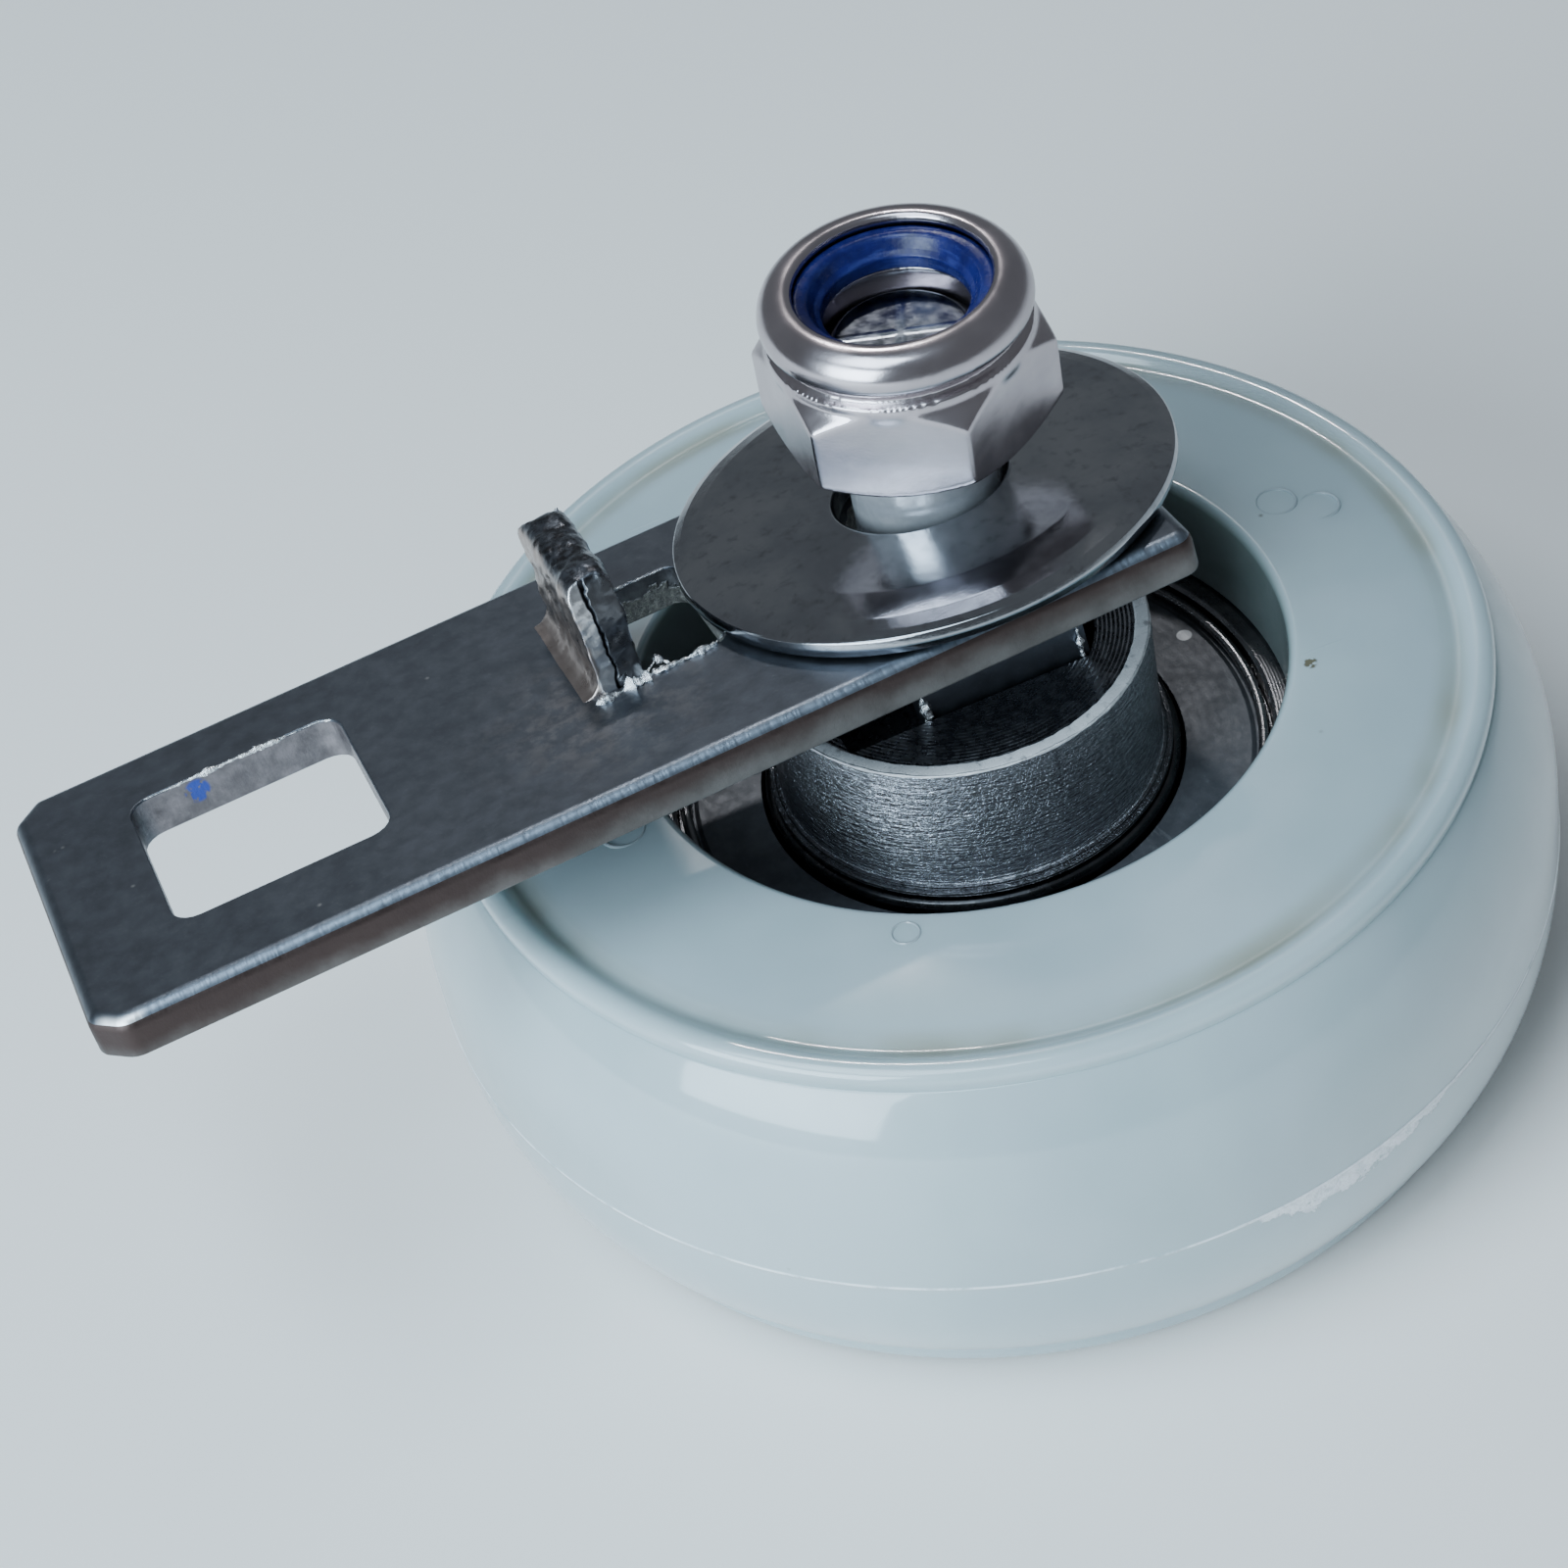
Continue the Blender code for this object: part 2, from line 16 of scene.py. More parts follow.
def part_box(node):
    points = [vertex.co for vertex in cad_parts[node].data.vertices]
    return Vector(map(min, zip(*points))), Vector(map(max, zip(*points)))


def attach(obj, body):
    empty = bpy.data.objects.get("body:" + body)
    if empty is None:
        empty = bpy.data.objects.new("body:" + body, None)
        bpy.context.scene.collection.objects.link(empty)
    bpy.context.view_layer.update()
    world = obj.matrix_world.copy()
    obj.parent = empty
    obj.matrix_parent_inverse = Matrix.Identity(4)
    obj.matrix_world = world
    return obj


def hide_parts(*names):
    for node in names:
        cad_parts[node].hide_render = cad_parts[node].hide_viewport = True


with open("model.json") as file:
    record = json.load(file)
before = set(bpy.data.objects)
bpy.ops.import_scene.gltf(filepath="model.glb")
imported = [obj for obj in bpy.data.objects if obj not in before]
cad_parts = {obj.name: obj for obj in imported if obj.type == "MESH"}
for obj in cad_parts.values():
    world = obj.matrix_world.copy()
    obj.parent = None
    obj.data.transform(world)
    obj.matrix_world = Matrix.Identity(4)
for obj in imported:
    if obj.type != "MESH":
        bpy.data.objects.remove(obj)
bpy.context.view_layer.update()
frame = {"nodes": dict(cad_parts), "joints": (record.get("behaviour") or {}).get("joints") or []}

MM = 0.001

# ---- places taken from the frame, mm ----
def heights(node):
    """A node's lowest and highest level at rest."""
    return [corner.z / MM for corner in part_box(node)]


JOINTS = {joint["name"]: joint for joint in frame["joints"]}
WHEEL_X = JOINTS["wheel_spin"]["pos_m"][0] / MM
WHEEL_Y = JOINTS["wheel_spin"]["pos_m"][1] / MM
WHEEL_RADIUS = (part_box("wheel_tyre")[1].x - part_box("wheel_tyre")[0].x) / MM / 2
WHEEL_TOP = heights("wheel_tyre")[1]
HUB_BOTTOM, HUB_TOP = heights("hub_sleeve")
NUT_BASE, NUT_TOP = heights("lock_nut")
BOLT_END = heights("axle_bolt")[1]
BEARING_BOTTOM, BEARING_TOP = heights("bearing_outer_ring")
MID = WHEEL_TOP / 2

# ---- sizes, mm ----
LEVER_TOP = 41.45
LEAN = (-10.5, -3.0, 0.0)
LEVER_THICKNESS = 3.0
LEVER_X = (-62.7, 12.0)
LEVER_Y = (-15.65, 12.55)
SLOT_X = (-55.4, -40.7)
SLOT_Y = (-8.35, 6.75)
TAB_X = (-25.1, -22.1)
TAB_Y = (-4.65, 6.55)
TAB_HEIGHT = 8.2
WINDOW_END = -16.2
KEY_X = -0.3
KEY_Y = (-7.4, -5.2)
KEY_HALF_WIDTH = 6.0
KEY_LENGTH = 11.3
BOLT_RADIUS = 5.0
HUB_COLLAR_RADIUS = 13.2
HUB_RECESS_RADIUS = 9.5
HUB_RECESS_FLAT = 6.4
HUB_RECESS_DEPTH = 5.0
NUT_FLATS = 17.0
NUT_HEX_HEIGHT = 6.65
HOLE_CENTRE = (-0.3, 0.4)
HOLE_RADIUS = 6.0
WASHER_CENTRE = (-0.3, -0.1)
SEAM = MID - 1.5
CLEARANCE = 0.3
BALL_PITCH_RADIUS = 16.75
FINE_VOXEL = 0.16
RACE_RADIUS = 4.2

# ---- camera ----
CAMERA_PLACE = (-0.060062, -0.183068, 0.206423)
CAMERA_ELEVATION = 44.205
CAMERA_AZIMUTH = -14.207
CAMERA_ROLL = 12.549
CAMERA_LENS = 88.79

WHEEL_AXIS = Matrix.Translation((WHEEL_X, WHEEL_Y, 0.0))
BOLT_AXIS = Matrix.Identity(4)
LEVER_PLANE = (Matrix.Translation((0.0, 0.0, LEVER_TOP))
               @ Euler([math.radians(a) for a in LEAN], "XYZ").to_matrix().to_4x4())


# ---- material helper ----
class Surface:
    """A Principled material whose textures are measured in millimetres from a given place."""

    def __init__(self, name, place=BOLT_AXIS):
        self.material = bpy.data.materials.new(name)
        self.material.use_nodes = True
        self.tree = self.material.node_tree
        self.shader = self.tree.nodes["Principled BSDF"]
        where = self.tree.nodes.new("ShaderNodeTexCoord").outputs["Object"]
        mapping = self.tree.nodes.new("ShaderNodeMapping")
        mapping.vector_type = "TEXTURE"
        mapping.inputs["Location"].default_value = place.to_translation() * MM
        mapping.inputs["Rotation"].default_value = place.to_euler()
        mapping.inputs["Scale"].default_value = (MM, MM, MM)
        self.tree.links.new(where, mapping.inputs["Vector"])
        self.place = mapping.outputs["Vector"]
        self.parts = None

    def feed(self, socket, value):
        """Sets a socket to a number or colour, or links an output to it."""
        if isinstance(value, bpy.types.NodeSocket):
            self.tree.links.new(value, socket)
        elif isinstance(value, tuple) and len(value) == 3 and socket.type == "RGBA":
            socket.default_value = (*value, 1.0)
        else:
            socket.default_value = value

    def set(self, **values):
        for name, value in values.items():
            self.feed(self.shader.inputs[name.replace("_", " ")], value)

    def axis(self, index):
        """One coordinate of the place, in mm."""
        if self.parts is None:
            self.parts = self.tree.nodes.new("ShaderNodeSeparateXYZ")
            self.tree.links.new(self.place, self.parts.inputs[0])
        return self.parts.outputs[index]

    def math(self, operation, first, second=0.0, third=0.0):
        node = self.tree.nodes.new("ShaderNodeMath")
        node.operation = operation
        for socket, value in zip(node.inputs, (first, second, third)):
            self.feed(socket, value)
        return node.outputs[0]

    def times(self, first, second):
        return self.math("MULTIPLY", first, second)

    def waves(self, value, pace):
        """A sine wave along value, pace radians to the mm."""
        return self.math("SINE", self.times(value, pace))

    def stretched(self, stretch):
        """The place with each coordinate scaled, which draws a texture out along an axis."""
        node = self.tree.nodes.new("ShaderNodeVectorMath")
        node.operation = "MULTIPLY"
        self.feed(node.inputs[0], self.place)
        node.inputs[1].default_value = stretch
        return node.outputs[0]

    def noise(self, scale, detail=3.0, roughness=0.55, stretch=None, distortion=0.0):
        node = self.tree.nodes.new("ShaderNodeTexNoise")
        self.feed(node.inputs["Vector"], self.place if stretch is None else self.stretched(stretch))
        node.inputs["Scale"].default_value = scale
        node.inputs["Detail"].default_value = detail
        node.inputs["Roughness"].default_value = roughness
        node.inputs["Distortion"].default_value = distortion
        return node.outputs["Fac"]

    def cells(self, scale, stretch=None, feature="F1"):
        node = self.tree.nodes.new("ShaderNodeTexVoronoi")
        node.feature = feature
        self.feed(node.inputs["Vector"], self.place if stretch is None else self.stretched(stretch))
        node.inputs["Scale"].default_value = scale
        return node.outputs["Distance"]

    def radius(self):
        """Distance from the place's Z axis, in mm."""
        node = self.tree.nodes.new("ShaderNodeVectorMath")
        node.operation = "LENGTH"
        self.feed(node.inputs[0], self.stretched((1.0, 1.0, 0.0)))
        return node.outputs["Value"]

    def near(self, point, size):
        """1 at a point, falling to 0 at a distance of size mm."""
        node = self.tree.nodes.new("ShaderNodeVectorMath")
        node.operation = "DISTANCE"
        self.feed(node.inputs[0], self.place)
        node.inputs[1].default_value = point
        return self.range(node.outputs["Value"], 0.0, size, 1.0, 0.0)

    def range(self, value, low, high, to_low=0.0, to_high=1.0, smooth=True):
        """Maps low to to_low and high to to_high and holds beyond them; smooth eases both ends."""
        node = self.tree.nodes.new("ShaderNodeMapRange")
        node.interpolation_type = "SMOOTHSTEP" if smooth else "LINEAR"
        for socket, number in zip(node.inputs, (value, low, high, to_low, to_high)):
            self.feed(socket, number)
        return node.outputs[0]

    def band(self, value, start, full, fade, end):
        """0 outside start to end, 1 between full and fade."""
        rise = self.range(value, start, full)
        fall = self.range(value, fade, end, 1.0, 0.0)
        return self.times(rise, fall)

    def mix(self, factor, first, second):
        node = self.tree.nodes.new("ShaderNodeMix")
        node.data_type = "RGBA"
        self.feed(node.inputs[0], factor)
        self.feed(node.inputs[6], first)
        self.feed(node.inputs[7], second)
        return node.outputs[2]

    def mix_numbers(self, factor, first, second):
        return self.math("ADD", self.times(factor, second),
                         self.times(self.math("SUBTRACT", 1.0, factor), first))

    def bump(self, height, distance, strength=1.0):
        """Adds relief, distance in mm for a height of 1, on top of what is already there."""
        node = self.tree.nodes.new("ShaderNodeBump")
        node.inputs["Strength"].default_value = strength
        node.inputs["Distance"].default_value = distance * MM
        self.feed(node.inputs["Height"], height)
        socket = self.shader.inputs["Normal"]
        if socket.is_linked:
            self.tree.links.new(socket.links[0].from_socket, node.inputs["Normal"])
        self.tree.links.new(node.outputs["Normal"], socket)


# ---- materials ----
def seam_scar(s):
    """Ragged white scuff that hangs below the parting line on one side."""
    turn = math.radians(-79.0)
    cosine, sine = math.cos(turn), math.sin(turn)
    along = s.math("ADD", s.times(s.axis(0), -sine), s.times(s.axis(1), cosine))
    outward = s.math("ADD", s.times(s.axis(0), cosine), s.times(s.axis(1), sine))
    below = s.math("SUBTRACT", SEAM + 0.1, s.axis(2))
    width = s.times(s.range(along, -9.5, -2.0), s.range(along, -1.0, 15.0, 1.0, 0.0, False))
    ragged = s.range(s.noise(0.9, 5.0, 0.7), 0.3, 0.7, 0.55, 1.35)
    width = s.times(s.times(width, 2.3), ragged)
    mask = s.range(s.math("SUBTRACT", width, below), 0.10, 0.35)
    mask = s.times(mask, s.range(below, -0.12, 0.0))
    mask = s.times(mask, s.range(outward, 28.0, 30.0))
    return s.times(mask, s.range(s.noise(1.6, 5.0, 0.7), 0.30, 0.55, 0.55, 1.0))


def nylon_material():
    """Glossy pale nylon with a cool blue-green cast; its bead crease is browned and its bore darkened as
    painted shade.
    """
    s = Surface("nylon_moulded", WHEEL_AXIS)
    r = s.radius()
    cloud = s.noise(0.05, 3.0)
    pale = s.mix(s.range(cloud, 0.3, 0.7), (0.37, 0.46, 0.49), (0.44, 0.53, 0.56))
    # painted shade: a brown tint in the bead's crease stands in for the shade that falls there
    crease_shade = s.band(r, 31.0, 32.7, 33.1, 34.0)
    crease_shade = s.times(crease_shade, s.range(s.noise(0.09, 2.0), 0.35, 0.65, 0.25, 1.0))
    tinted = s.mix(s.times(crease_shade, 0.7), pale, (0.27, 0.26, 0.18))
    # painted shade: the bore wall is darkened where it lies down in shade
    bore = s.times(s.range(r, 21.95, 22.5, 1.0, 0.0), 0.75)
    tinted = s.mix(bore, tinted, (0.13, 0.165, 0.145))
    specks = s.range(s.cells(0.28), 0.0, 0.075, 1.0, 0.0)
    specks = s.times(specks, s.range(s.noise(0.16, 1.0), 0.60, 0.66))
    tinted = s.mix(s.times(specks, 0.8), tinted, (0.10, 0.09, 0.06))
    fleck = s.near((20.05, -12.33, 29.97), 0.75)
    fleck = s.times(fleck, s.range(s.noise(2.2, 2.0), 0.3, 0.5))
    tinted = s.mix(s.range(fleck, 0.15, 0.45), tinted, (0.10, 0.09, 0.05))
    seam = s.band(s.axis(2), SEAM - 0.16, SEAM - 0.05, SEAM + 0.05, SEAM + 0.16)
    broken = s.times(seam, s.range(s.noise(0.30, 4.0, 0.65), 0.34, 0.52))
    tinted = s.mix(s.times(broken, 0.9), tinted, (0.88, 0.93, 0.98))
    scar = seam_scar(s)
    tinted = s.mix(scar, tinted, (0.90, 0.93, 1.0))
    s.set(Base_Color=tinted, Subsurface_Weight=0.35, Subsurface_Scale=0.005,
          Subsurface_Radius=(1.0, 1.2, 1.05), Coat_Weight=0.9, Coat_Roughness=0.07, Coat_IOR=1.55)
    smear = s.noise(0.22, 4.0, 0.6)
    smeared = s.range(smear, 0.3, 0.75, 0.28, 0.42)
    s.set(Roughness=s.math("MAXIMUM", smeared, s.times(scar, 0.7)))
    s.bump(s.noise(0.10, 2.0), 0.16, 0.5)
    s.bump(s.noise(1.6, 3.0), 0.006)
    scratches = s.range(s.noise(1.0, 2.0, 0.5, (0.12, 2.4, 1.0)), 0.72, 0.78)
    s.bump(scratches, 0.012, 0.7)
    s.bump(s.times(seam, s.noise(1.3, 3.0)), 0.08)
    s.bump(s.times(scar, s.noise(1.8, 4.0, 0.7)), 0.30)
    return s.material


def steel(name, place, dark, light, roughness, mottle=0.35, grain=0.01):
    """Common start of the steels: mottled colour, uneven roughness and fine grain."""
    s = Surface(name, place)
    patches = s.noise(mottle, 5.0, 0.6)
    colour = s.mix(s.range(patches, 0.32, 0.68), dark, light)
    s.set(Metallic=1.0, Base_Color=colour)
    s.set(Roughness=s.range(s.noise(mottle * 2.3, 4.0), 0.3, 0.7, roughness[0], roughness[1]))
    s.bump(s.noise(5.0, 4.0, 0.6), grain)
    return s, colour


def bearing_material(name, dark, light):
    """Ground ring with fine turning marks."""
    s, _ = steel(name, WHEEL_AXIS, dark, light, (0.22, 0.36))
    s.bump(s.waves(s.radius(), 30.0), 0.003)
    return s.material


def shield_material():
    """Dull pressed shield with faint rings, a few scuffs and one pale rubbed spot."""
    s, colour = steel("shield_pressed", WHEEL_AXIS, (0.085, 0.090, 0.102), (0.125, 0.130, 0.145),
                      (0.42, 0.54), 0.6, 0.012)
    scuff = s.range(s.noise(0.9, 5.0, 0.7, (1.0, 0.3, 1.0)), 0.60, 0.68)
    colour = s.mix(s.times(scuff, 0.4), colour, (0.22, 0.23, 0.25))
    spot = s.near((17.9, 3.2, BEARING_TOP - 0.8), 0.75)
    s.set(Base_Color=s.mix(s.range(spot, 0.1, 0.3), colour, (0.50, 0.52, 0.55)), Metallic=0.6)
    s.bump(s.waves(s.radius(), 9.0), 0.0015)
    return s.material


def hub_material():
    """Turned collar: foot flange darkened as painted shade, finely crazed wall, thin rim painted pale as
    a highlight, ringed ledge, recess darkened as painted shade.
    """
    s, colour = steel("hub_turned", WHEEL_AXIS, (0.20, 0.20, 0.215), (0.34, 0.34, 0.36),
                      (0.26, 0.40), 0.9, 0.010)
    r = s.radius()
    wall = s.range(r, HUB_COLLAR_RADIUS - 0.12, HUB_COLLAR_RADIUS - 0.04)
    crazing = s.range(s.cells(4.2, (1.0, 1.0, 0.6), "DISTANCE_TO_EDGE"), 0.0, 0.14)
    worn = s.times(wall, s.range(s.noise(3.4, 4.0, 0.65), 0.4, 0.7, 0.35, 1.0))
    crazed = s.mix(worn, colour, (0.62, 0.64, 0.70))
    # painted shade: the foot flange outside the collar wall, down by the bearing, is darkened
    flange = s.times(s.range(r, HUB_COLLAR_RADIUS + 0.02, HUB_COLLAR_RADIUS + 0.08), 0.85)
    crazed = s.mix(flange, crazed, (0.10, 0.10, 0.11))
    # painted shade: the inside of the recess below the ledge is darkened
    recess_shade = s.times(s.range(r, 11.9, 12.1, 1.0, 0.0),
                   s.range(s.axis(2), HUB_TOP - 2.0, HUB_TOP - 0.8, 1.0, 0.0))
    crazed = s.mix(s.times(recess_shade, 0.8), crazed, (0.07, 0.07, 0.075))
    grain = s.range(s.noise(1.8, 4.0), 0.3, 0.7)
    s.set(Roughness=s.mix_numbers(wall, s.math("MULTIPLY_ADD", grain, 0.12, 0.22), 0.22))
    # painted highlight: the thin top rim ring is made pale and less metallic so it shows bright over its
    # burred edge
    rim = s.times(s.range(r, 12.0, 12.2), s.range(s.axis(2), HUB_TOP - 0.30, HUB_TOP - 0.12))
    rim = s.times(rim, s.range(s.noise(1.2, 4.0), 0.25, 0.45, 0.45, 1.0))
    s.set(Base_Color=s.mix(rim, crazed, (0.80, 0.81, 0.83)), Metallic=s.range(rim, 0.0, 1.0, 1.0, 0.3))
    grooves = s.waves(s.axis(2), 24.0)
    foot = s.range(s.axis(2), BEARING_TOP + 1.3, BEARING_TOP + 1.0, 0.0, 1.0)
    s.bump(s.times(s.times(wall, foot), grooves), 0.05)
    s.bump(s.times(wall, crazing), 0.018)
    s.bump(s.times(wall, s.noise(2.4, 4.0, 0.6, (0.35, 0.35, 1.9))), 0.21)
    ledge = s.times(s.range(r, HUB_COLLAR_RADIUS - 1.2, HUB_COLLAR_RADIUS - 1.1, 1.0, 0.0),
                    s.range(s.axis(2), HUB_TOP - 1.0, HUB_TOP - 0.7))
    rings = s.waves(r, 21.0)
    s.bump(s.times(ledge, rings), 0.02)
    return s.material


def lever_colour(s):
    """Dark blue-grey rolled plate with faint clouds, pale specks and a lighter patch by the tab that is
    a painted reflection.
    """
    clouds = s.noise(0.12, 5.0, 0.6)
    colour = s.mix(s.range(clouds, 0.30, 0.70), (0.112, 0.124, 0.146), (0.140, 0.154, 0.180))
    grit = s.noise(2.6, 5.0, 0.7)
    colour = s.mix(s.times(s.range(grit, 0.52, 0.72), 0.35), colour, (0.19, 0.20, 0.22))
    # painted reflection: a lighter patch on the plate round the tab's foot
    rubbed = s.near((-25.8, -5.9, 0.0), 11.0)
    rubbed = s.times(rubbed, s.range(s.noise(0.5, 5.0, 0.7), 0.42, 0.62))
    colour = s.mix(s.times(rubbed, 0.6), colour, (0.30, 0.29, 0.30))
    specks = s.range(s.cells(0.42), 0.0, 0.10, 1.0, 0.0)
    specks = s.times(specks, s.range(s.noise(0.21, 1.0), 0.56, 0.62))
    return s.mix(s.times(specks, 0.75), colour, (0.62, 0.62, 0.62))


def lever_material():
    """Skin of the plate and key, with a painted highlight along the rolled front edge and a brighter one
    at one front corner.
    """
    s = Surface("lever_plate", LEVER_PLANE)
    colour = lever_colour(s)
    y = s.axis(1)
    # painted highlight: a paler blue-grey band along the top of the rolled front edge
    edge = s.band(y, LEVER_Y[0] - 0.1, LEVER_Y[0] + 0.10, LEVER_Y[0] + 0.55, LEVER_Y[0] + 1.05)
    edge = s.times(edge, s.range(s.axis(2), -0.9, -0.5))
    fringe = s.noise(2.4, 3.0, 0.6, (1.0, 0.16, 0.2))
    edge = s.times(edge, s.range(fringe, 0.30, 0.60, 0.35, 1.0))
    colour = s.mix(edge, colour, (0.205, 0.24, 0.29))
    # painted highlight: a near-white patch on the rounded edge at the free end's front corner
    corner = s.range(s.near((LEVER_X[0] + 2.0, LEVER_Y[0] + 1.0, -0.5), 2.4), 0.1, 0.7)
    corner = s.times(corner, s.range(s.axis(2), -0.28, -0.02, 1.0, 0.0))
    s.set(Base_Color=s.mix(corner, colour, (0.78, 0.78, 0.80)))
    s.set(Metallic=1.0)
    s.set(Roughness=s.range(s.noise(0.7, 4.0), 0.3, 0.7, 0.37, 0.44))
    s.bump(s.noise(0.35, 3.0), 0.03, 0.5)
    s.bump(s.noise(3.2, 5.0, 0.65), 0.008)
    s.bump(s.times(edge, fringe), 0.018)
    return s.material


def lever_side_material():
    """Sheared outer side: reddish brown under the rolled edge, greyer below."""
    s, colour = steel("lever_side", LEVER_PLANE, (0.13, 0.118, 0.112), (0.20, 0.185, 0.178),
                      (0.42, 0.56), 0.2, 0.02)
    depth = s.math("ADD", s.axis(2), s.range(s.noise(0.35, 4.0, 0.6), 0.2, 0.8, -0.4, 0.4))
    depth = s.math("ADD", depth, s.range(s.axis(0), -50.0, -12.0, 1.0, 0.0))
    s.set(Base_Color=s.mix(s.range(depth, -2.6, -0.7), colour, (0.082, 0.060, 0.056)))
    s.bump(s.noise(1.4, 4.0, 0.6, (1.0, 1.0, 0.4)), 0.02)
    return s.material


def lever_cut_material():
    """Punched walls of the slot: paler satin, with a smear of blue marking ink."""
    s, colour = steel("lever_cut", LEVER_PLANE, (0.16, 0.145, 0.152), (0.27, 0.245, 0.258),
                      (0.36, 0.55), 0.7, 0.03)
    ink = s.times(s.near((-50.8, 6.7, -1.1), 1.25), s.range(s.noise(1.6, 2.0), 0.30, 0.55))
    s.set(Base_Color=s.mix(s.range(ink, 0.12, 0.4), colour, (0.025, 0.06, 0.36)))
    s.set(Metallic=s.range(ink, 0.12, 0.4, 0.9, 0.2))
    s.bump(s.noise(2.2, 4.0, 0.6, (1.0, 1.0, 0.2)), 0.04)
    return s.material


def torn_material():
    """Broken faces of the window and tab: dark shear band over grey crumbly fracture."""
    s, colour = steel("lever_torn", LEVER_PLANE, (0.10, 0.10, 0.11), (0.17, 0.17, 0.18),
                      (0.40, 0.60), 0.8, 0.03)
    depth = s.math("ADD", s.axis(2), s.range(s.noise(0.7, 3.0), 0.2, 0.8, -0.7, 0.7))
    broken = s.band(depth, -3.6, -3.0, -1.5, -1.2)
    crumbs = s.noise(2.6, 6.0, 0.75)
    grey = s.mix(s.range(crumbs, 0.35, 0.7), (0.20, 0.20, 0.19), (0.55, 0.54, 0.51))
    s.set(Base_Color=s.mix(broken, colour, grey))
    s.bump(s.times(broken, crumbs), 0.35)
    return s.material


def tab_material():
    """Bent-up tab: dark scaled top, brown outer skin, a painted highlight down its bent front corner,
    grey sheared end.
    """
    s = Surface("lever_tab_skin", LEVER_PLANE)
    colour = lever_colour(s)
    across = s.math("ADD", s.axis(0), s.range(s.noise(0.5, 2.0), 0.3, 0.7, -0.2, 0.2))
    outer = s.range(across, TAB_X[0] - 0.1, TAB_X[0] + 0.5, 1.0, 0.0)
    colour = s.mix(outer, colour, (0.42, 0.35, 0.32))
    front = s.range(s.axis(1), TAB_Y[0] + 0.5, TAB_Y[0] + 1.0, 1.0, 0.0)
    # painted highlight: a near-white strip down the rounded front corner beside the outer face
    rolled = s.band(across, TAB_X[0], TAB_X[0] + 0.3, TAB_X[0] + 1.0, TAB_X[0] + 1.15)
    colour = s.mix(s.times(front, rolled), colour, (0.74, 0.73, 0.74))
    sheared = s.range(across, TAB_X[0] + 1.25, TAB_X[0] + 1.4)
    colour = s.mix(s.times(front, sheared), colour, (0.17, 0.17, 0.18))
    crack = s.band(across, TAB_X[0] + 1.05, TAB_X[0] + 1.15, TAB_X[0] + 1.25, TAB_X[0] + 1.4)
    crack = s.times(front, crack)
    colour = s.mix(crack, colour, (0.012, 0.012, 0.014))
    top = s.range(s.axis(2), TAB_HEIGHT - 1.0, TAB_HEIGHT - 0.3)
    pits = s.range(s.noise(1.4, 5.0, 0.7), 0.40, 0.62)
    colour = s.mix(s.times(top, pits), colour, (0.045, 0.045, 0.05))
    s.set(Base_Color=colour, Metallic=1.0)
    s.set(Roughness=s.range(s.noise(0.8, 4.0), 0.3, 0.7, 0.26, 0.40))
    s.bump(s.noise(1.1, 4.0, 0.6), 0.05)
    s.bump(s.noise(4.5, 4.0, 0.6), 0.012)
    s.bump(crack, -0.15)
    return s.material


def burr_material():
    """Freshly torn bright metal."""
    s, _ = steel("bright_burr", LEVER_PLANE, (0.62, 0.63, 0.65), (0.90, 0.91, 0.92),
                 (0.16, 0.34), 1.6, 0.05)
    s.bump(s.noise(2.5, 5.0, 0.7), 0.08)
    return s.material


def washer_material():
    """Smooth stamped washer, dark polished grey with scuffed haze."""
    s, colour = steel("washer_stamped", LEVER_PLANE, (0.29, 0.30, 0.325), (0.40, 0.405, 0.425),
                      (0.09, 0.15), 0.16, 0.005)
    haze = s.range(s.noise(0.9, 6.0, 0.65), 0.50, 0.74)
    colour = s.mix(s.times(haze, 0.5), colour, (0.13, 0.135, 0.145))
    s.set(Base_Color=colour)
    s.bump(s.noise(0.16, 3.0), 0.10, 0.6)
    s.bump(s.noise(1.9, 6.0, 0.7), 0.006)
    return s.material


def fastener_material():
    """Polished nut with a faint pinkish cast and fine forming marks."""
    s, colour = steel("fastener_polished", BOLT_AXIS, (0.45, 0.405, 0.43), (0.54, 0.485, 0.51),
                      (0.18, 0.27), 0.12, 0.003)
    haze = s.range(s.noise(0.5, 4.0, 0.6), 0.50, 0.75)
    s.set(Base_Color=s.mix(s.times(haze, 0.3), colour, (0.44, 0.40, 0.41)))
    s.bump(s.noise(0.28, 2.0), 0.04, 0.6)
    return s.material


def shank_material():
    """Plated bolt: draw marks along the shank and a faint forged cross on its end."""
    s, colour = steel("shank_plated", BOLT_AXIS, (0.58, 0.60, 0.64), (0.74, 0.75, 0.78),
                      (0.12, 0.24), 0.5, 0.006)
    end = s.range(s.axis(2), BOLT_END - 0.12, BOLT_END - 0.02)
    along = s.math("ADD", s.times(s.axis(0), 0.92), s.times(s.axis(1), -0.38))
    across = s.math("ADD", s.times(s.axis(0), 0.38), s.times(s.axis(1), 0.92))
    bars = s.math("MAXIMUM", s.band(along, -0.45, -0.1, 0.1, 0.45),
                  s.band(across, -0.45, -0.1, 0.1, 0.45))
    cross = s.times(end, bars)
    dull = s.mix(s.times(end, 0.7), colour, (0.10, 0.12, 0.16))
    s.set(Base_Color=s.mix(s.times(cross, 0.6), dull, (0.46, 0.52, 0.60)))
    shaft = s.band(s.axis(2), HUB_TOP, HUB_TOP + 1.0, BOLT_END - 4.0, BOLT_END - 3.0)
    s.set(Metallic=s.range(shaft, 0.0, 1.0, 1.0, 0.65))
    s.bump(s.noise(1.5, 4.0, 0.6, (1.0, 1.0, 0.1)), 0.012)
    s.bump(cross, 0.02)
    return s.material


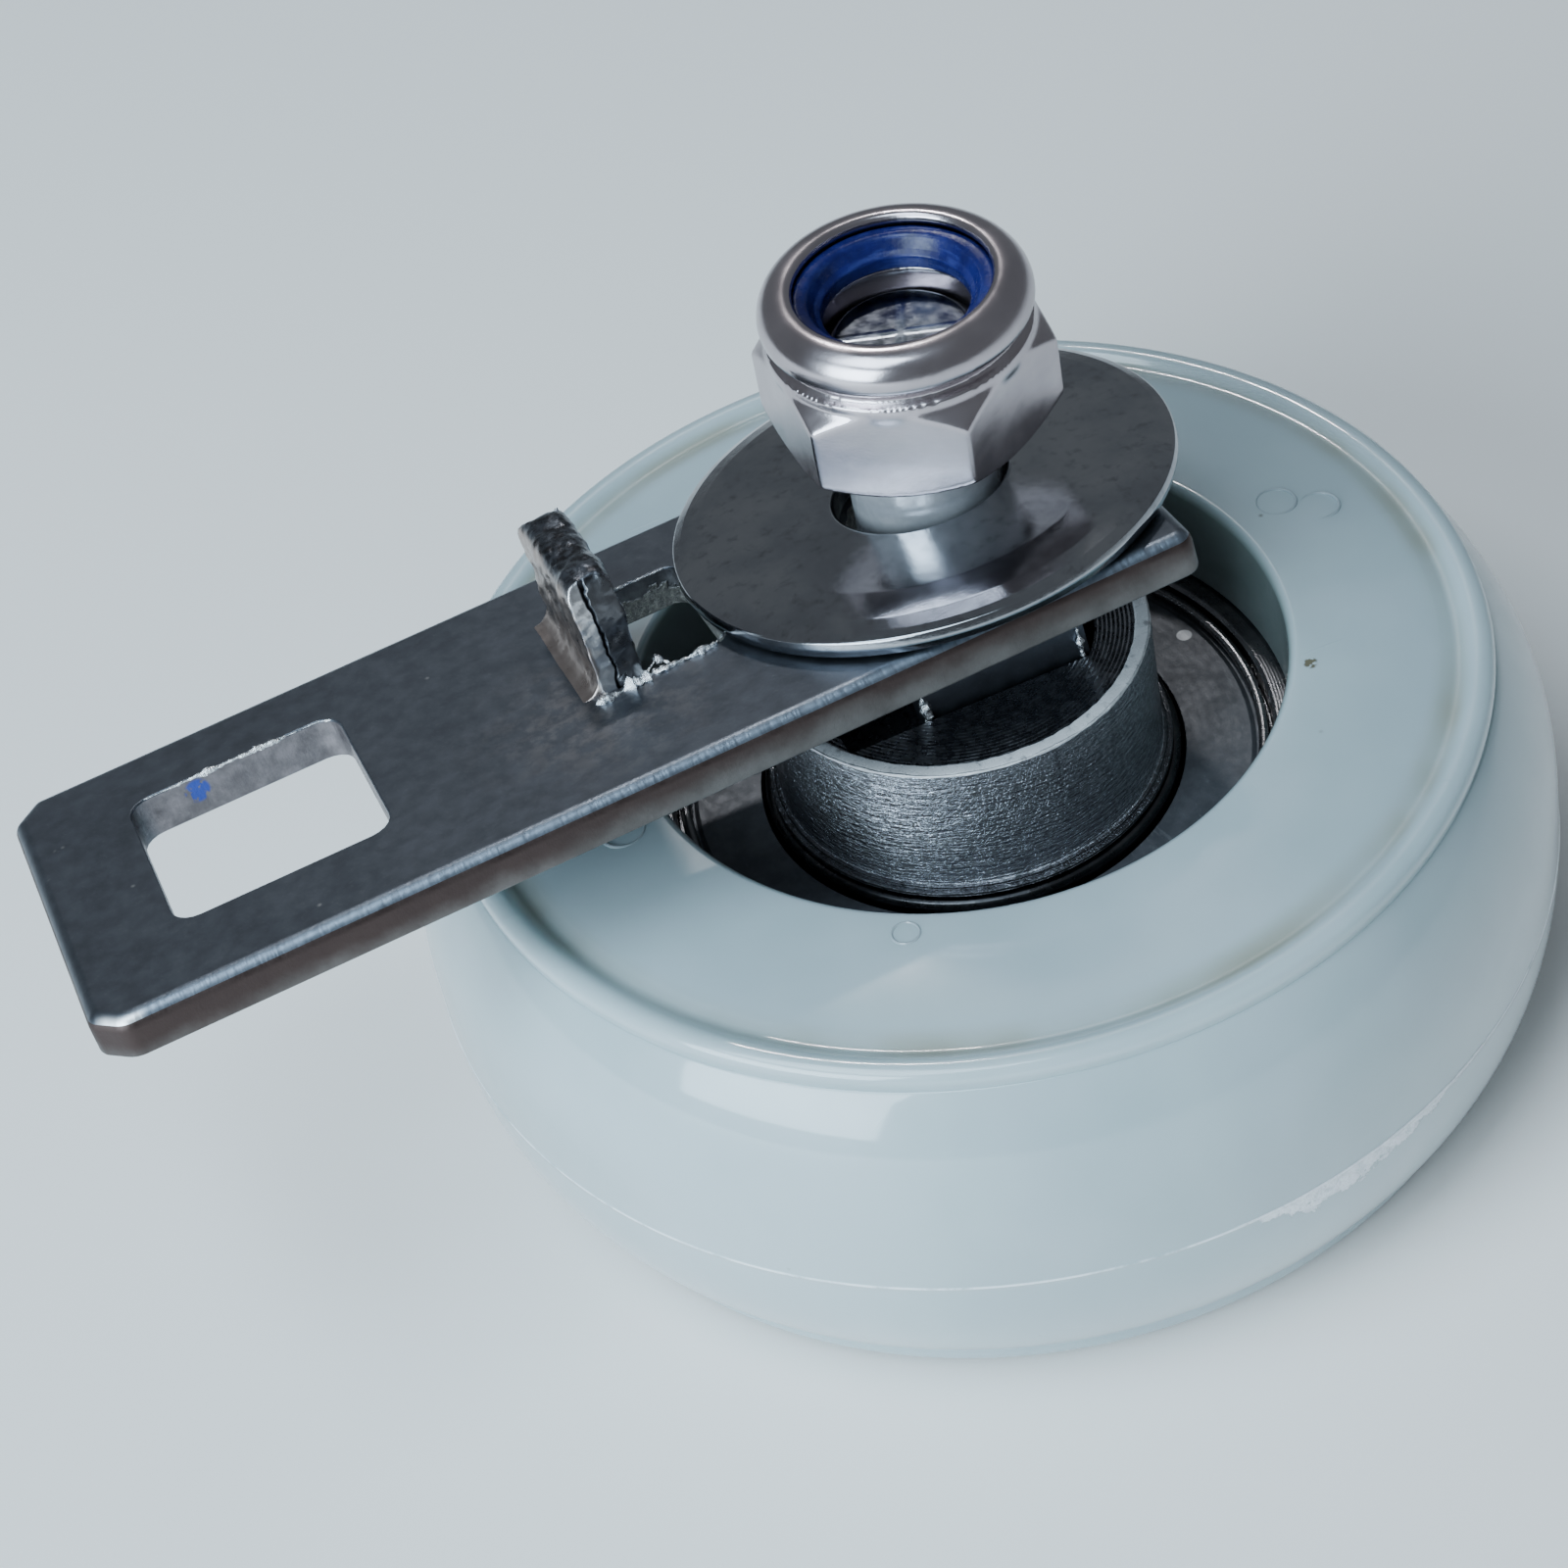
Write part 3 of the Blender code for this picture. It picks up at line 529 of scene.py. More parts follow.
def retainer_material():
    """Plain dull washer under the bolt's head."""
    s, _ = steel("retainer_dull", BOLT_AXIS, (0.17, 0.17, 0.18), (0.28, 0.28, 0.29),
                 (0.30, 0.44), 0.5, 0.01)
    return s.material


def insert_material():
    """Dark blue nylon ring with paler rubbed bands."""
    s = Surface("insert_blue", BOLT_AXIS)
    rubbed = s.range(s.noise(0.9, 4.0, 0.6, (0.4, 0.4, 2.6)), 0.50, 0.75)
    colour = s.mix(s.range(s.noise(0.4, 3.0), 0.3, 0.7), (0.004, 0.005, 0.055), (0.009, 0.013, 0.115))
    s.set(Base_Color=s.mix(s.times(rubbed, 0.4), colour, (0.05, 0.065, 0.26)))
    s.set(Roughness=s.range(s.noise(1.1, 3.0), 0.3, 0.7, 0.22, 0.36), Specular_IOR_Level=0.35)
    s.bump(s.noise(2.2, 3.0), 0.02)
    return s.material


def cage_material():
    """Warm grey pressed steel of the ball cage."""
    s, _ = steel("cage_plain", WHEEL_AXIS, (0.36, 0.34, 0.31), (0.52, 0.50, 0.46),
                 (0.30, 0.45), 0.8, 0.02)
    return s.material


def floor_material():
    s = Surface("pale_floor")
    cloud = s.range(s.noise(0.004, 2.0), 0.3, 0.7)
    s.set(Base_Color=s.mix(cloud, (0.93, 0.89, 0.86), (0.945, 0.905, 0.875)))
    s.set(Roughness=0.7)
    return s.material


# ---- shape helpers, mm ----
def arc(centre_r, centre_z, radius, start, end, count):
    """Points along an arc in the (r, z) plane, angles in degrees, ends included."""
    points = []
    for i in range(count + 1):
        angle = math.radians(start + (end - start) * i / count)
        points.append((centre_r + radius * math.cos(angle), centre_z + radius * math.sin(angle)))
    return points


def rounded(corners, steps=5):
    """A closed outline from (x, y, radius) corners, each rounded by its radius."""
    points = []
    count = len(corners)
    for i, (x, y, radius) in enumerate(corners):
        here = Vector((x, y))
        if radius <= 0.0:
            points.append((x, y))
            continue
        before = (Vector(corners[i - 1][:2]) - here).normalized()
        after = (Vector(corners[(i + 1) % count][:2]) - here).normalized()
        half = before.angle(after) / 2
        reach = radius / math.tan(half)
        centre = here + (before + after).normalized() * (radius / math.sin(half))
        first = here + before * reach - centre
        turn = first.angle_signed(here + after * reach - centre)
        for k in range(steps + 1):
            spot = centre + Matrix.Rotation(-turn * k / steps, 2) @ first
            points.append((spot.x, spot.y))
    return points


def new_solid(bm):
    """A bmesh in millimetres as a scratch object."""
    bmesh.ops.recalc_face_normals(bm, faces=bm.faces)
    mesh = bpy.data.meshes.new("scratch")
    bm.to_mesh(mesh)
    bm.free()
    item = bpy.data.objects.new("scratch", mesh)
    bpy.context.scene.collection.objects.link(item)
    return item


def revolve(profile, steps, sweep=360.0, start=0.0):
    """Spins a closed (r, z) outline about Z; less than a full turn gets end caps."""
    bm = bmesh.new()
    turn = Matrix.Rotation(math.radians(start), 4, "Z")
    verts = [bm.verts.new(turn @ Vector((r, 0.0, z))) for r, z in profile]
    edges = [bm.edges.new((verts[i], verts[(i + 1) % len(verts)])) for i in range(len(verts))]
    whole = sweep >= 360.0
    caps = [] if whole else [bm.faces.new(verts)]
    bmesh.ops.spin(bm, geom=verts + edges + caps, cent=(0, 0, 0), axis=(0, 0, 1),
                   angle=math.radians(sweep), steps=steps, use_merge=whole)
    bmesh.ops.remove_doubles(bm, verts=bm.verts, dist=0.0005)
    bmesh.ops.dissolve_degenerate(bm, edges=bm.edges, dist=0.0002)
    return new_solid(bm)


def prism(outline, low, high):
    """Extrudes a closed (x, y) outline from z = low to z = high."""
    bm = bmesh.new()
    base = bm.faces.new([bm.verts.new((x, y, low)) for x, y in outline])
    top = bmesh.ops.extrude_face_region(bm, geom=[base])
    moved = [v for v in top["geom"] if isinstance(v, bmesh.types.BMVert)]
    bmesh.ops.translate(bm, vec=(0, 0, high - low), verts=moved)
    return new_solid(bm)


def slab(low, high):
    """A box between two corners."""
    outline = [(low[0], low[1]), (high[0], low[1]), (high[0], high[1]), (low[0], high[1])]
    return prism(outline, low[2], high[2])


def circle(radius, steps, x=0.0, y=0.0, phase=0.0):
    """A circle's outline round (x, y); phase turns its first point, in degrees."""
    points = []
    for i in range(steps):
        angle = math.radians(phase) + 2 * math.pi * i / steps
        points.append((x + radius * math.cos(angle), y + radius * math.sin(angle)))
    return points


def hexagon(flats):
    """A hexagon's outline from its width across flats."""
    return circle(flats / math.sqrt(3), 6, phase=30.0)


def apply_modifiers(item):
    bpy.context.view_layer.update()
    graph = bpy.context.evaluated_depsgraph_get()
    item.data = bpy.data.meshes.new_from_object(item.evaluated_get(graph))
    item.modifiers.clear()
    return item


def combine(item, tool, operation="DIFFERENCE"):
    modifier = item.modifiers.new("combine", "BOOLEAN")
    modifier.operation = operation
    modifier.solver = "EXACT"
    modifier.object = tool
    apply_modifiers(item)
    bpy.data.objects.remove(tool, do_unlink=True)
    return item


def soften(item, width, segments=3, angle=35.0):
    """Rounds every edge sharper than angle."""
    modifier = item.modifiers.new("soften", "BEVEL")
    modifier.width = width
    modifier.segments = segments
    modifier.limit_method = "ANGLE"
    modifier.angle_limit = math.radians(angle)
    return apply_modifiers(item)


def round_chosen(item, chosen, width, segments):
    """Rounds the edges for which chosen(edge) is true."""
    bm = bmesh.new()
    bm.from_mesh(item.data)
    edges = [e for e in bm.edges if len(e.link_faces) == 2 and chosen(e)]
    bmesh.ops.bevel(bm, geom=edges, offset=width, segments=segments, profile=0.5, affect="EDGES",
                    clamp_overlap=True)
    bm.to_mesh(item.data)
    bm.free()
    return item


def remesh(item, voxel, smooth=2):
    """Even fine mesh, ready to be roughened."""
    modifier = item.modifiers.new("remesh", "REMESH")
    modifier.mode = "VOXEL"
    modifier.voxel_size = voxel
    relax = item.modifiers.new("relax", "SMOOTH")
    relax.iterations = smooth
    return apply_modifiers(item)


def roughen(item, size, height, seed, keep=None):
    """Moves vertices along their normals by noise; keep(co) scales it from 0 to 1."""
    mesh = item.data
    normals = [v.normal.copy() for v in mesh.vertices]
    shift = Vector((seed * 17.3, seed * 5.1, seed * 11.7))
    for vertex, normal in zip(mesh.vertices, normals):
        amount = noise.fractal(vertex.co / size + shift, 0.9, 2.0, 4)
        if keep is not None:
            amount *= keep(vertex.co)
        vertex.co = vertex.co + normal * (amount * height)
    return item


def finish(item, name, materials, body, place=BOLT_AXIS, stands_for=(), sharp=38.0, choose=None):
    """Places a scratch solid in the frame as a named piece that rides on a body."""
    mesh = item.data
    mesh.name = name
    item.name = name
    mesh.materials.clear()
    for material in materials:
        mesh.materials.append(material)
    if choose is not None:
        for face in mesh.polygons:
            face.material_index = choose(face)
    mesh.transform(Matrix.Scale(MM, 4) @ place)
    mesh.shade_smooth()
    mesh.set_sharp_from_angle(angle=math.radians(sharp))
    normals = item.modifiers.new("even_normals", "WEIGHTED_NORMAL")
    normals.keep_sharp = True
    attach(item, body)
    if stands_for:
        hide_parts(*stands_for)
    return item


# ---- wheel ----
# (distance from the axis, fall below the wheel's top) down the sloping annular face
FACE = [(22.7, 0.0), (25.5, 0.04), (28.0, 0.22), (30.4, 0.46), (31.8, 0.70), (32.5, 0.88), (33.0, 0.95)]


def face_fall(distance):
    """How far the annular face lies below the wheel's top at a distance from its axis."""
    for (near, fall), (far, deeper) in zip(FACE, FACE[1:]):
        if distance <= far:
            return fall + (deeper - fall) * (distance - near) / (far - near)
    return FACE[-1][1]


def wheel_side():
    """Outline of one side: lip, sloping face and bead, out to the tread's shoulder."""
    top = WHEEL_TOP
    lip = 22.0
    points = [(lip + 1.8, BEARING_TOP + CLEARANCE), (lip, BEARING_TOP + CLEARANCE)]
    points += arc(lip + 0.7, top - 0.7, 0.7, 180, 96, 7)
    points += [(r, top - fall) for r, fall in FACE[1:-2]]
    bead = [(32.0, top - 0.74, 0.0), (33.1, top - 1.02, 1.0), (34.25, top - 0.28, 1.2)]
    bead += [(35.5, top - 0.75, 0.8), (35.35, top - 1.95, 0.0)]
    return points + rounded(bead, 9)


def wheel_tread():
    """Crowned tread from shoulder to shoulder, with a hair-thin ridge at the parting line."""
    reach, drop, power, steps = 12.0, 3.0, 2.8, 52
    ridge = 0.05
    widest = WHEEL_RADIUS - 0.01
    points = []
    for i in range(steps + 1):
        away = 13.0 * (1 - 2 * i / steps)
        height = MID + away
        if abs(height - SEAM) > 0.2:
            points.append((WHEEL_RADIUS - ridge - drop * (abs(away) / reach) ** power, height))
        else:
            points += [(widest - ridge, SEAM + 0.12), (widest, SEAM + 0.04)]
            points += [(widest, SEAM - 0.04), (widest - ridge, SEAM - 0.12)]
    return points


def build_wheel(nylon):
    upper = wheel_side()
    lower = [(r, WHEEL_TOP - z) for r, z in reversed(upper)]
    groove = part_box("bearing_outer_ring")[1].x / MM - WHEEL_X + CLEARANCE
    seat = [(groove, BEARING_BOTTOM - CLEARANCE), (groove, BEARING_TOP + CLEARANCE)]
    tyre = revolve(upper + wheel_tread() + lower + seat, 240)
    finish(tyre, "tyre_moulding", [nylon], "wheel", WHEEL_AXIS, ["wheel_tyre"], 60.0)
    spots = [(25.9, 6.8, 1.35), (28.1, 2.6, 1.35), (25.3, 184.8, 1.5), (24.0, 237.5, 0.9)]
    for index, (distance, angle, size) in enumerate(spots):
        ring = revolve(arc(size, 0.0, 0.12, 0, 315, 7), 40)
        turn = math.radians(angle)
        height = WHEEL_TOP - face_fall(distance) - 0.06
        spot = Matrix.Translation((distance * math.cos(turn), distance * math.sin(turn), height))
        finish(ring, f"ejector_mark_{index + 1}", [nylon], "wheel", WHEEL_AXIS @ spot)


# ---- bearing ----
def build_outer_ring(ground):
    outer, seat, shoulder, depth = 23.5, 20.6, 19.4, 1.7
    bottom, top = BEARING_BOTTOM, BEARING_TOP
    corners = [(outer, bottom, 0.5), (outer, top, 0.5), (seat + 0.25, top, 0.08)]
    corners += [(seat, top - 0.25, 0.08), (seat, top - depth, 0.1), (shoulder, top - depth, 0.2)]
    corners += [(shoulder, MID + 3.2, 0.0)]
    race = arc(BALL_PITCH_RADIUS, MID, RACE_RADIUS, 40, -40, 14)
    end = [(shoulder, MID - 3.2, 0.0), (shoulder, bottom + depth, 0.2), (seat, bottom + depth, 0.1)]
    end += [(seat, bottom + 0.25, 0.08), (seat + 0.25, bottom, 0.08)]
    outline = rounded(corners + [(r, z, 0.0) for r, z in race] + end, 3)
    ring = revolve(outline, 144)
    finish(ring, "outer_ring_ground", [ground], "wheel", WHEEL_AXIS,
           ["bearing_outer_ring"])


def build_inner_ring(ground):
    bore, shoulder, chamfer = 10.0, 14.3, 0.5
    bottom, top = BEARING_BOTTOM, BEARING_TOP
    corners = [(bore, bottom, 0.3), (bore, top, 0.3), (shoulder, top, chamfer)]
    corners += [(shoulder, MID + 3.4, 0.0)]
    race = arc(BALL_PITCH_RADIUS, MID, RACE_RADIUS, 125, 235, 14)
    end = [(shoulder, MID - 3.4, 0.0), (shoulder, bottom, chamfer)]
    outline = rounded(corners + [(r, z, 0.0) for r, z in race] + end, 4)
    ring = revolve(outline, 128)
    finish(ring, "inner_ring_ground", [ground], "hub", WHEEL_AXIS,
           ["bearing_inner_ring"])


def build_shields(pressed, ground):
    """Flat pressed shields with a small outer step and plain inner edge, and their split wires."""
    for name, side in (("upper", 1), ("lower", -1)):
        face = MID + side * (BEARING_TOP - MID)
        inner, outer, sheet = 14.6, 20.28, 0.45
        corners = [(outer, 0.95, 0.1), (19.35, 0.95, 0.2), (19.05, 0.80, 0.2), (inner, 0.74, 0.06)]
        corners += [(inner, 0.80 + sheet, 0.05), (19.05, 0.80 + sheet, 0.2)]
        corners += [(19.35, 0.95 + sheet, 0.2), (outer, 0.95 + sheet, 0.1)]
        outline = [(r, face - side * depth) for r, depth in rounded(corners, 3)]
        shield = revolve(outline, 160)
        finish(shield, f"shield_{name}_pressed", [pressed], "wheel", WHEEL_AXIS,
               [f"shield_{name}"])
        wire = revolve(arc(19.9, face - side * 0.50, 0.38, 0, 337, 15), 150, 350.0, 35.0)
        finish(wire, f"snap_wire_{name}_round", [ground], "wheel", WHEEL_AXIS,
               [f"snap_wire_{name}"])


# ---- hub ----
def build_hub(turned):
    spigot = 9.7
    foot = BEARING_TOP + CLEARANCE
    collar = HUB_COLLAR_RADIUS
    ledge = HUB_TOP - 0.4
    corners = [(0.0, HUB_BOTTOM, 0.0), (spigot, HUB_BOTTOM, 0.4), (spigot, foot, 0.0)]
    flange = collar + 0.65
    corners += [(flange, foot, 0.08), (flange, foot + 0.28, 0.08), (collar + 0.3, foot + 0.32, 0.04)]
    corners += [(collar + 0.26, foot + 0.5, 0.06), (collar, foot + 0.55, 0.05), (collar, HUB_TOP, 0.18)]
    corners += [(collar - 0.95, HUB_TOP, 0.12), (collar - 1.1, ledge, 0.12), (0.0, ledge, 0.0)]
    hub = revolve(rounded(corners, 4), 180)
    floor = HUB_TOP - HUB_RECESS_DEPTH
    above = HUB_TOP + 5
    half = math.asin(HUB_RECESS_FLAT / HUB_RECESS_RADIUS)
    steps = 64
    recess = []
    for i in range(steps + 1):
        angle = -half + (math.pi + 2 * half) * i / steps
        recess.append((HUB_RECESS_RADIUS * math.cos(angle), HUB_RECESS_RADIUS * math.sin(angle)))
    combine(hub, prism(recess, floor, above))
    combine(hub, slab((-10.2, -HUB_RECESS_FLAT, floor), (-4, 0, above)))
    combine(hub, prism(circle(BOLT_RADIUS + CLEARANCE, 72, -WHEEL_X, -WHEEL_Y), 0, above))
    soften(hub, 0.12, 2, 50.0)

    def on_rim(co):
        """1 on the collar's thin rim, 0 elsewhere."""
        return float(co.z > HUB_TOP - 0.3 and math.hypot(co.x, co.y) > collar - 1.2)

    roughen(hub, 0.9, 0.07, 3, on_rim)
    finish(hub, "hub_turned", [turned], "hub", WHEEL_AXIS, ["hub_sleeve"])


# ---- bolt and retaining washer ----
def build_bolt(plated):
    head, flats = 6.0, NUT_FLATS
    bolt = prism(hexagon(flats), 0, head)
    corner = flats / math.sqrt(3)
    cone = [(0.0, -1.0), (corner - 2.6, -1.0), (corner - 1.15, 0.0), (corner + 0.1, 0.8)]
    cone += [(corner + 0.1, head + 1), (0.0, head + 1)]
    combine(bolt, revolve(cone, 96), "INTERSECT")
    soften(bolt, 0.25, 3, 25.0)
    corners = [(0.0, head - 1.0, 0.0), (BOLT_RADIUS + 0.8, head - 1.0, 0.0)]
    corners += [(BOLT_RADIUS + 0.25, head, 0.0), (BOLT_RADIUS, head + 0.25, 0.2)]
    corners += [(BOLT_RADIUS, BOLT_END - 0.85, 0.3), (BOLT_RADIUS - 0.75, BOLT_END, 0.2)]
    corners += [(0.0, BOLT_END, 0.0)]
    shank = revolve(rounded(corners, 4), 96)
    combine(bolt, shank, "UNION")
    finish(bolt, "axle_bolt_plated", [plated], "axle", BOLT_AXIS, ["axle_bolt"])


def build_retainer(dull):
    low, high = heights("retaining_washer")
    corners = [(5.3, low, 0.1), (14.0, low, 0.35), (14.0, high, 0.1), (5.3, high, 0.1)]
    ring = revolve(rounded(corners, 4), 96)
    finish(ring, "retaining_washer_stamped", [dull], "axle", BOLT_AXIS,
           ["retaining_washer"])


# ---- lever ----
def lever_outline():
    """Free-end corners cut and blunted, bolt end nearly square."""
    (x0, x1), (y0, y1) = LEVER_X, LEVER_Y
    cut = 1.9
    corners = [(x0, y1 - cut, 1.0), (x0, y0 + cut, 1.3), (x0 + cut, y0, 1.7), (x1, y0, 1.2)]
    corners += [(x1, y1, 1.3), (x0 + cut, y1, 1.0)]
    return rounded(corners, 5)


def is_rim_edge(edge, level):
    """Whether an edge lies in the plane z = level."""
    return all(abs(v.co.z - level) < 0.02 for v in edge.verts)


def inside_lever(edge):
    """Whether an edge lies inside the lever's outer outline."""
    middle = (edge.verts[0].co + edge.verts[1].co) / 2
    return LEVER_X[0] + 2.8 < middle.x < LEVER_X[1] - 2 and LEVER_Y[0] + 2 < middle.y < LEVER_Y[1] - 2


def rounded_box(low, high, radius):
    """A rectangle's outline with round corners."""
    corners = [(high[0], high[1]), (low[0], high[1]), (low[0], low[1]), (high[0], low[1])]
    return rounded([(x, y, radius) for x, y in corners], 5)


def build_lever_plate(skin, side, cut, torn):
    under = -LEVER_THICKNESS
    below, above = under - 5, 5
    plate = prism(lever_outline(), under, 0.0)
    round_chosen(plate, lambda e: is_rim_edge(e, 0.0), 1.0, 6)
    round_chosen(plate, lambda e: is_rim_edge(e, under), 0.22, 2)
    combine(plate, prism(rounded_box((SLOT_X[0], SLOT_Y[0]), (SLOT_X[1], SLOT_Y[1]), 1.6), below, above))
    window = rounded_box((TAB_X[0] - 0.4, TAB_Y[0]), (WINDOW_END, TAB_Y[1]), 1.2)
    combine(plate, prism(window, below, above))
    hole = prism(circle(HOLE_RADIUS, 72, *HOLE_CENTRE), below, above)
    gate = KEY_HALF_WIDTH + 0.3
    combine(hole, slab((KEY_X - gate, KEY_Y[0] + 0.6, below), (KEY_X + gate, 0.0, above)), "UNION")
    combine(plate, hole)

    def is_punched_rim(edge):
        """Whether an edge is the sharp rim of a hole, on either face of the plate."""
        sharp = edge.calc_face_angle(0.0) > 1.0 and inside_lever(edge)
        return sharp and (is_rim_edge(edge, 0.0) or is_rim_edge(edge, under))

    round_chosen(plate, is_punched_rim, 0.25, 3)

    def choose(face):
        """Material by place: 0 skin, 1 outer side, 2 the slot's walls, 3 the torn walls."""
        if abs(face.normal.z) > 0.55 or face.center.z > -0.35:
            return 0
        x, y = face.center.x, face.center.y
        if SLOT_X[0] - 0.4 < x < SLOT_X[1] + 0.4 and SLOT_Y[0] - 0.4 < y < SLOT_Y[1] + 0.4:
            return 2
        if TAB_X[0] - 1 < x < LEVER_X[1] - 3 and LEVER_Y[0] + 3 < y < LEVER_Y[1] - 3:
            return 3
        return 1

    finish(plate, "lever_plate", [skin, side, cut, torn], "lever", LEVER_PLANE, ["lever"],
           choose=choose)


def upright(outline, low, high, turn):
    """A prism whose outline stands on edge: turn maps its (x, y, z) into the lever's axes."""
    item = prism(outline, low, high)
    item.data.transform(turn)
    if turn.determinant() < 0:
        item.data.flip_normals()
    return item


def build_tab(skin):
    """Tongue bent up out of the window, rounded, thinned and rough from tearing."""
    x0, x1 = TAB_X
    top = TAB_HEIGHT
    corners = [(x0 - 1.6, 0.0, 0.0), (x0 - 0.05, 0.0, 1.3), (x0 - 0.15, top - 0.3, 1.1)]
    corners += [(x1 + 0.05, top, 1.0), (x1, -1.0, 0.0), (x1, -2.9, 2.2), (x0 - 1.6, -2.9, 0.0)]
    turn = Matrix(((1, 0, 0, 0), (0, 0, 1, 0), (0, 1, 0, 0), (0, 0, 0, 1)))
    tab = upright(rounded(corners, 6), TAB_Y[0], TAB_Y[1], turn)
    bm = bmesh.new()
    bm.from_mesh(tab.data)
    bmesh.ops.recalc_face_normals(bm, faces=bm.faces)
    bm.to_mesh(tab.data)
    bm.free()
    front = rounded([(-1.2, -4.0, 0.0), (12.4, -4.0, 0.0), (11.2, 8.1, 2.6), (0.2, 8.6, 1.9)], 6)
    trim = prism(front, -30.0, -18.0)
    trim.data.transform(Matrix(((0, 0, 1, 0), (1, 0, 0, TAB_Y[0] + 0.2), (0, 1, 0, 0), (0, 0, 0, 1))))
    combine(tab, trim, "INTERSECT")
    remesh(tab, FINE_VOXEL, 3)

    def torn(co):
        """Smooth at the root, rough towards the top, and nearly smooth where it joins the plate."""
        rising = min(1.0, max(0.0, (co.z + 0.6) / 1.6))
        return rising if co.x > x0 - 0.9 else rising * 0.15

    roughen(tab, 2.2, 0.18, 5, torn)
    roughen(tab, 0.5, 0.03, 6, torn)
    finish(tab, "lever_tab", [skin], "lever", LEVER_PLANE, sharp=70.0)


def build_key(skin):
    """Tongue bent down from the bolt hole's front edge into the hub's recess."""
    y0, y1 = KEY_Y
    tip = -KEY_LENGTH
    corners = [(y0 - 1.2, -0.05, 0.0), (y1, -0.05, 2.0), (y1, tip, 0.5), (y0, tip, 0.4), (y0, -3.0, 0.5)]
    corners += [(y0 - 1.2, -3.0, 0.0)]
    turn = Matrix(((0, 0, 1, 0), (1, 0, 0, 0), (0, 1, 0, 0), (0, 0, 0, 1)))
    key = upright(rounded(corners, 5), KEY_X - KEY_HALF_WIDTH, KEY_X + KEY_HALF_WIDTH, turn)
    soften(key, 0.18, 2, 50.0)
    finish(key, "lever_key", [skin], "lever", LEVER_PLANE)


# ---- torn edges ----
def burr_line(points, radius, seed, gaps=0.0, step=0.12):
    """A crumbly thread of torn metal along a line; gaps makes it come and go."""
    spots = []
    for first, second in zip(points, points[1:]):
        first, second = Vector(first), Vector(second)
        count = max(2, int((second - first).length / step))
        spots += [first.lerp(second, i / count) for i in range(count)]
    spots.append(Vector(points[-1]))
    bm = bmesh.new()
    rings = []
    sides = 7
    for index, spot in enumerate(spots):
        ahead = spots[min(index + 1, len(spots) - 1)] - spots[max(index - 1, 0)]
        across = ahead.cross(Vector((0.31, 0.22, 0.92))).normalized()
        upward = across.cross(ahead).normalized()
        swell = 0.55 + 0.9 * noise.noise(spot * 1.1 + Vector((seed, 0, 0))) - gaps
        end = min(index, len(spots) - 1 - index) / 3.0
        size = radius * max(0.06, swell + 0.35 * noise.noise(spot * 4.0)) * min(1.0, 0.1 + end)
        ring = []
        for k in range(sides):
            angle = 2 * math.pi * k / sides
            way = across * math.cos(angle) + upward * math.sin(angle)
            lump = 1.0 + 0.7 * noise.noise((spot + way * radius) * 3.3 + Vector((0, seed, 0)))
            ring.append(bm.verts.new(spot + way * size * lump))
        rings.append(ring)
    for ring, following in zip(rings, rings[1:]):
        for k in range(sides):
            bm.faces.new((ring[k], ring[(k + 1) % sides], following[(k + 1) % sides], following[k]))
    bm.faces.new(list(reversed(rings[0])))
    bm.faces.new(rings[-1])
    return new_solid(bm)


def build_burrs(bright):
    """Bright torn threads on the window, the tab's root, the slot and the key."""
    (x0, x1), (y0, y1) = TAB_X, TAB_Y
    slot_edge = SLOT_Y[1] - 0.02
    window_edge = y1 - 0.02
    lines = {
        "burr_window_front": (0.30, 1, 0.0, [
            (x1 + 0.2, y0 - 0.1, -0.05), (x1 + 1.2, y0 - 0.35, 0.1),
            (WINDOW_END - 1.2, y0 - 0.15, 0.05), (WINDOW_END, y0 + 0.9, 0.0)]),
        "burr_window_chunk": (0.55, 8, 0.0, [
            (x1 + 0.1, y0 + 0.3, 0.0), (x1 + 1.0, y0 + 0.7, 0.35), (x1 + 1.7, y0 + 0.1, 0.1)]),
        "burr_tab_root": (0.62, 2, 0.0, [
            (x0 - 0.9, y0 - 0.8, -0.1), (x0 + 0.6, y0 - 0.75, 0.05), (x1 + 0.3, y0 - 0.2, 0.05)]),
        "burr_tab_tip": (0.5, 3, 0.0, [
            (x1 - 0.6, y1 - 0.9, TAB_HEIGHT - 0.9), (x1 - 0.3, y1 - 1.0, TAB_HEIGHT - 0.2)]),
        "burr_slot_back": (0.20, 4, 0.05, [
            (SLOT_X[0] + 1.2, slot_edge, -0.06), (SLOT_X[1] - 1.2, slot_edge, -0.06),
            (SLOT_X[1] - 0.3, SLOT_Y[1] - 0.5, -0.06)]),
        "burr_window_back": (0.16, 5, 0.05, [
            (x1 + 0.3, window_edge, -0.05), (WINDOW_END - 0.8, window_edge, -0.05)]),
    }
    for side, seed, inset, thick in ((-1, 6, 0.15, 0.48), (1, 7, 0.55, 0.30)):
        x = KEY_X + side * (KEY_HALF_WIDTH - inset)
        y = KEY_Y[0] - 0.1
        tip = 0.2 - KEY_LENGTH
        lines[f"burr_key_{seed}"] = (thick, seed, 0.0, [
            (x, y, tip + 2.6), (x - 0.1 * side, y - 0.15, tip + 1.2), (x, y, tip)])
    for name, (radius, seed, gaps, points) in lines.items():
        burr = burr_line(points, radius, seed, gaps)
        finish(burr, name, [bright], "lever", LEVER_PLANE, sharp=55.0)


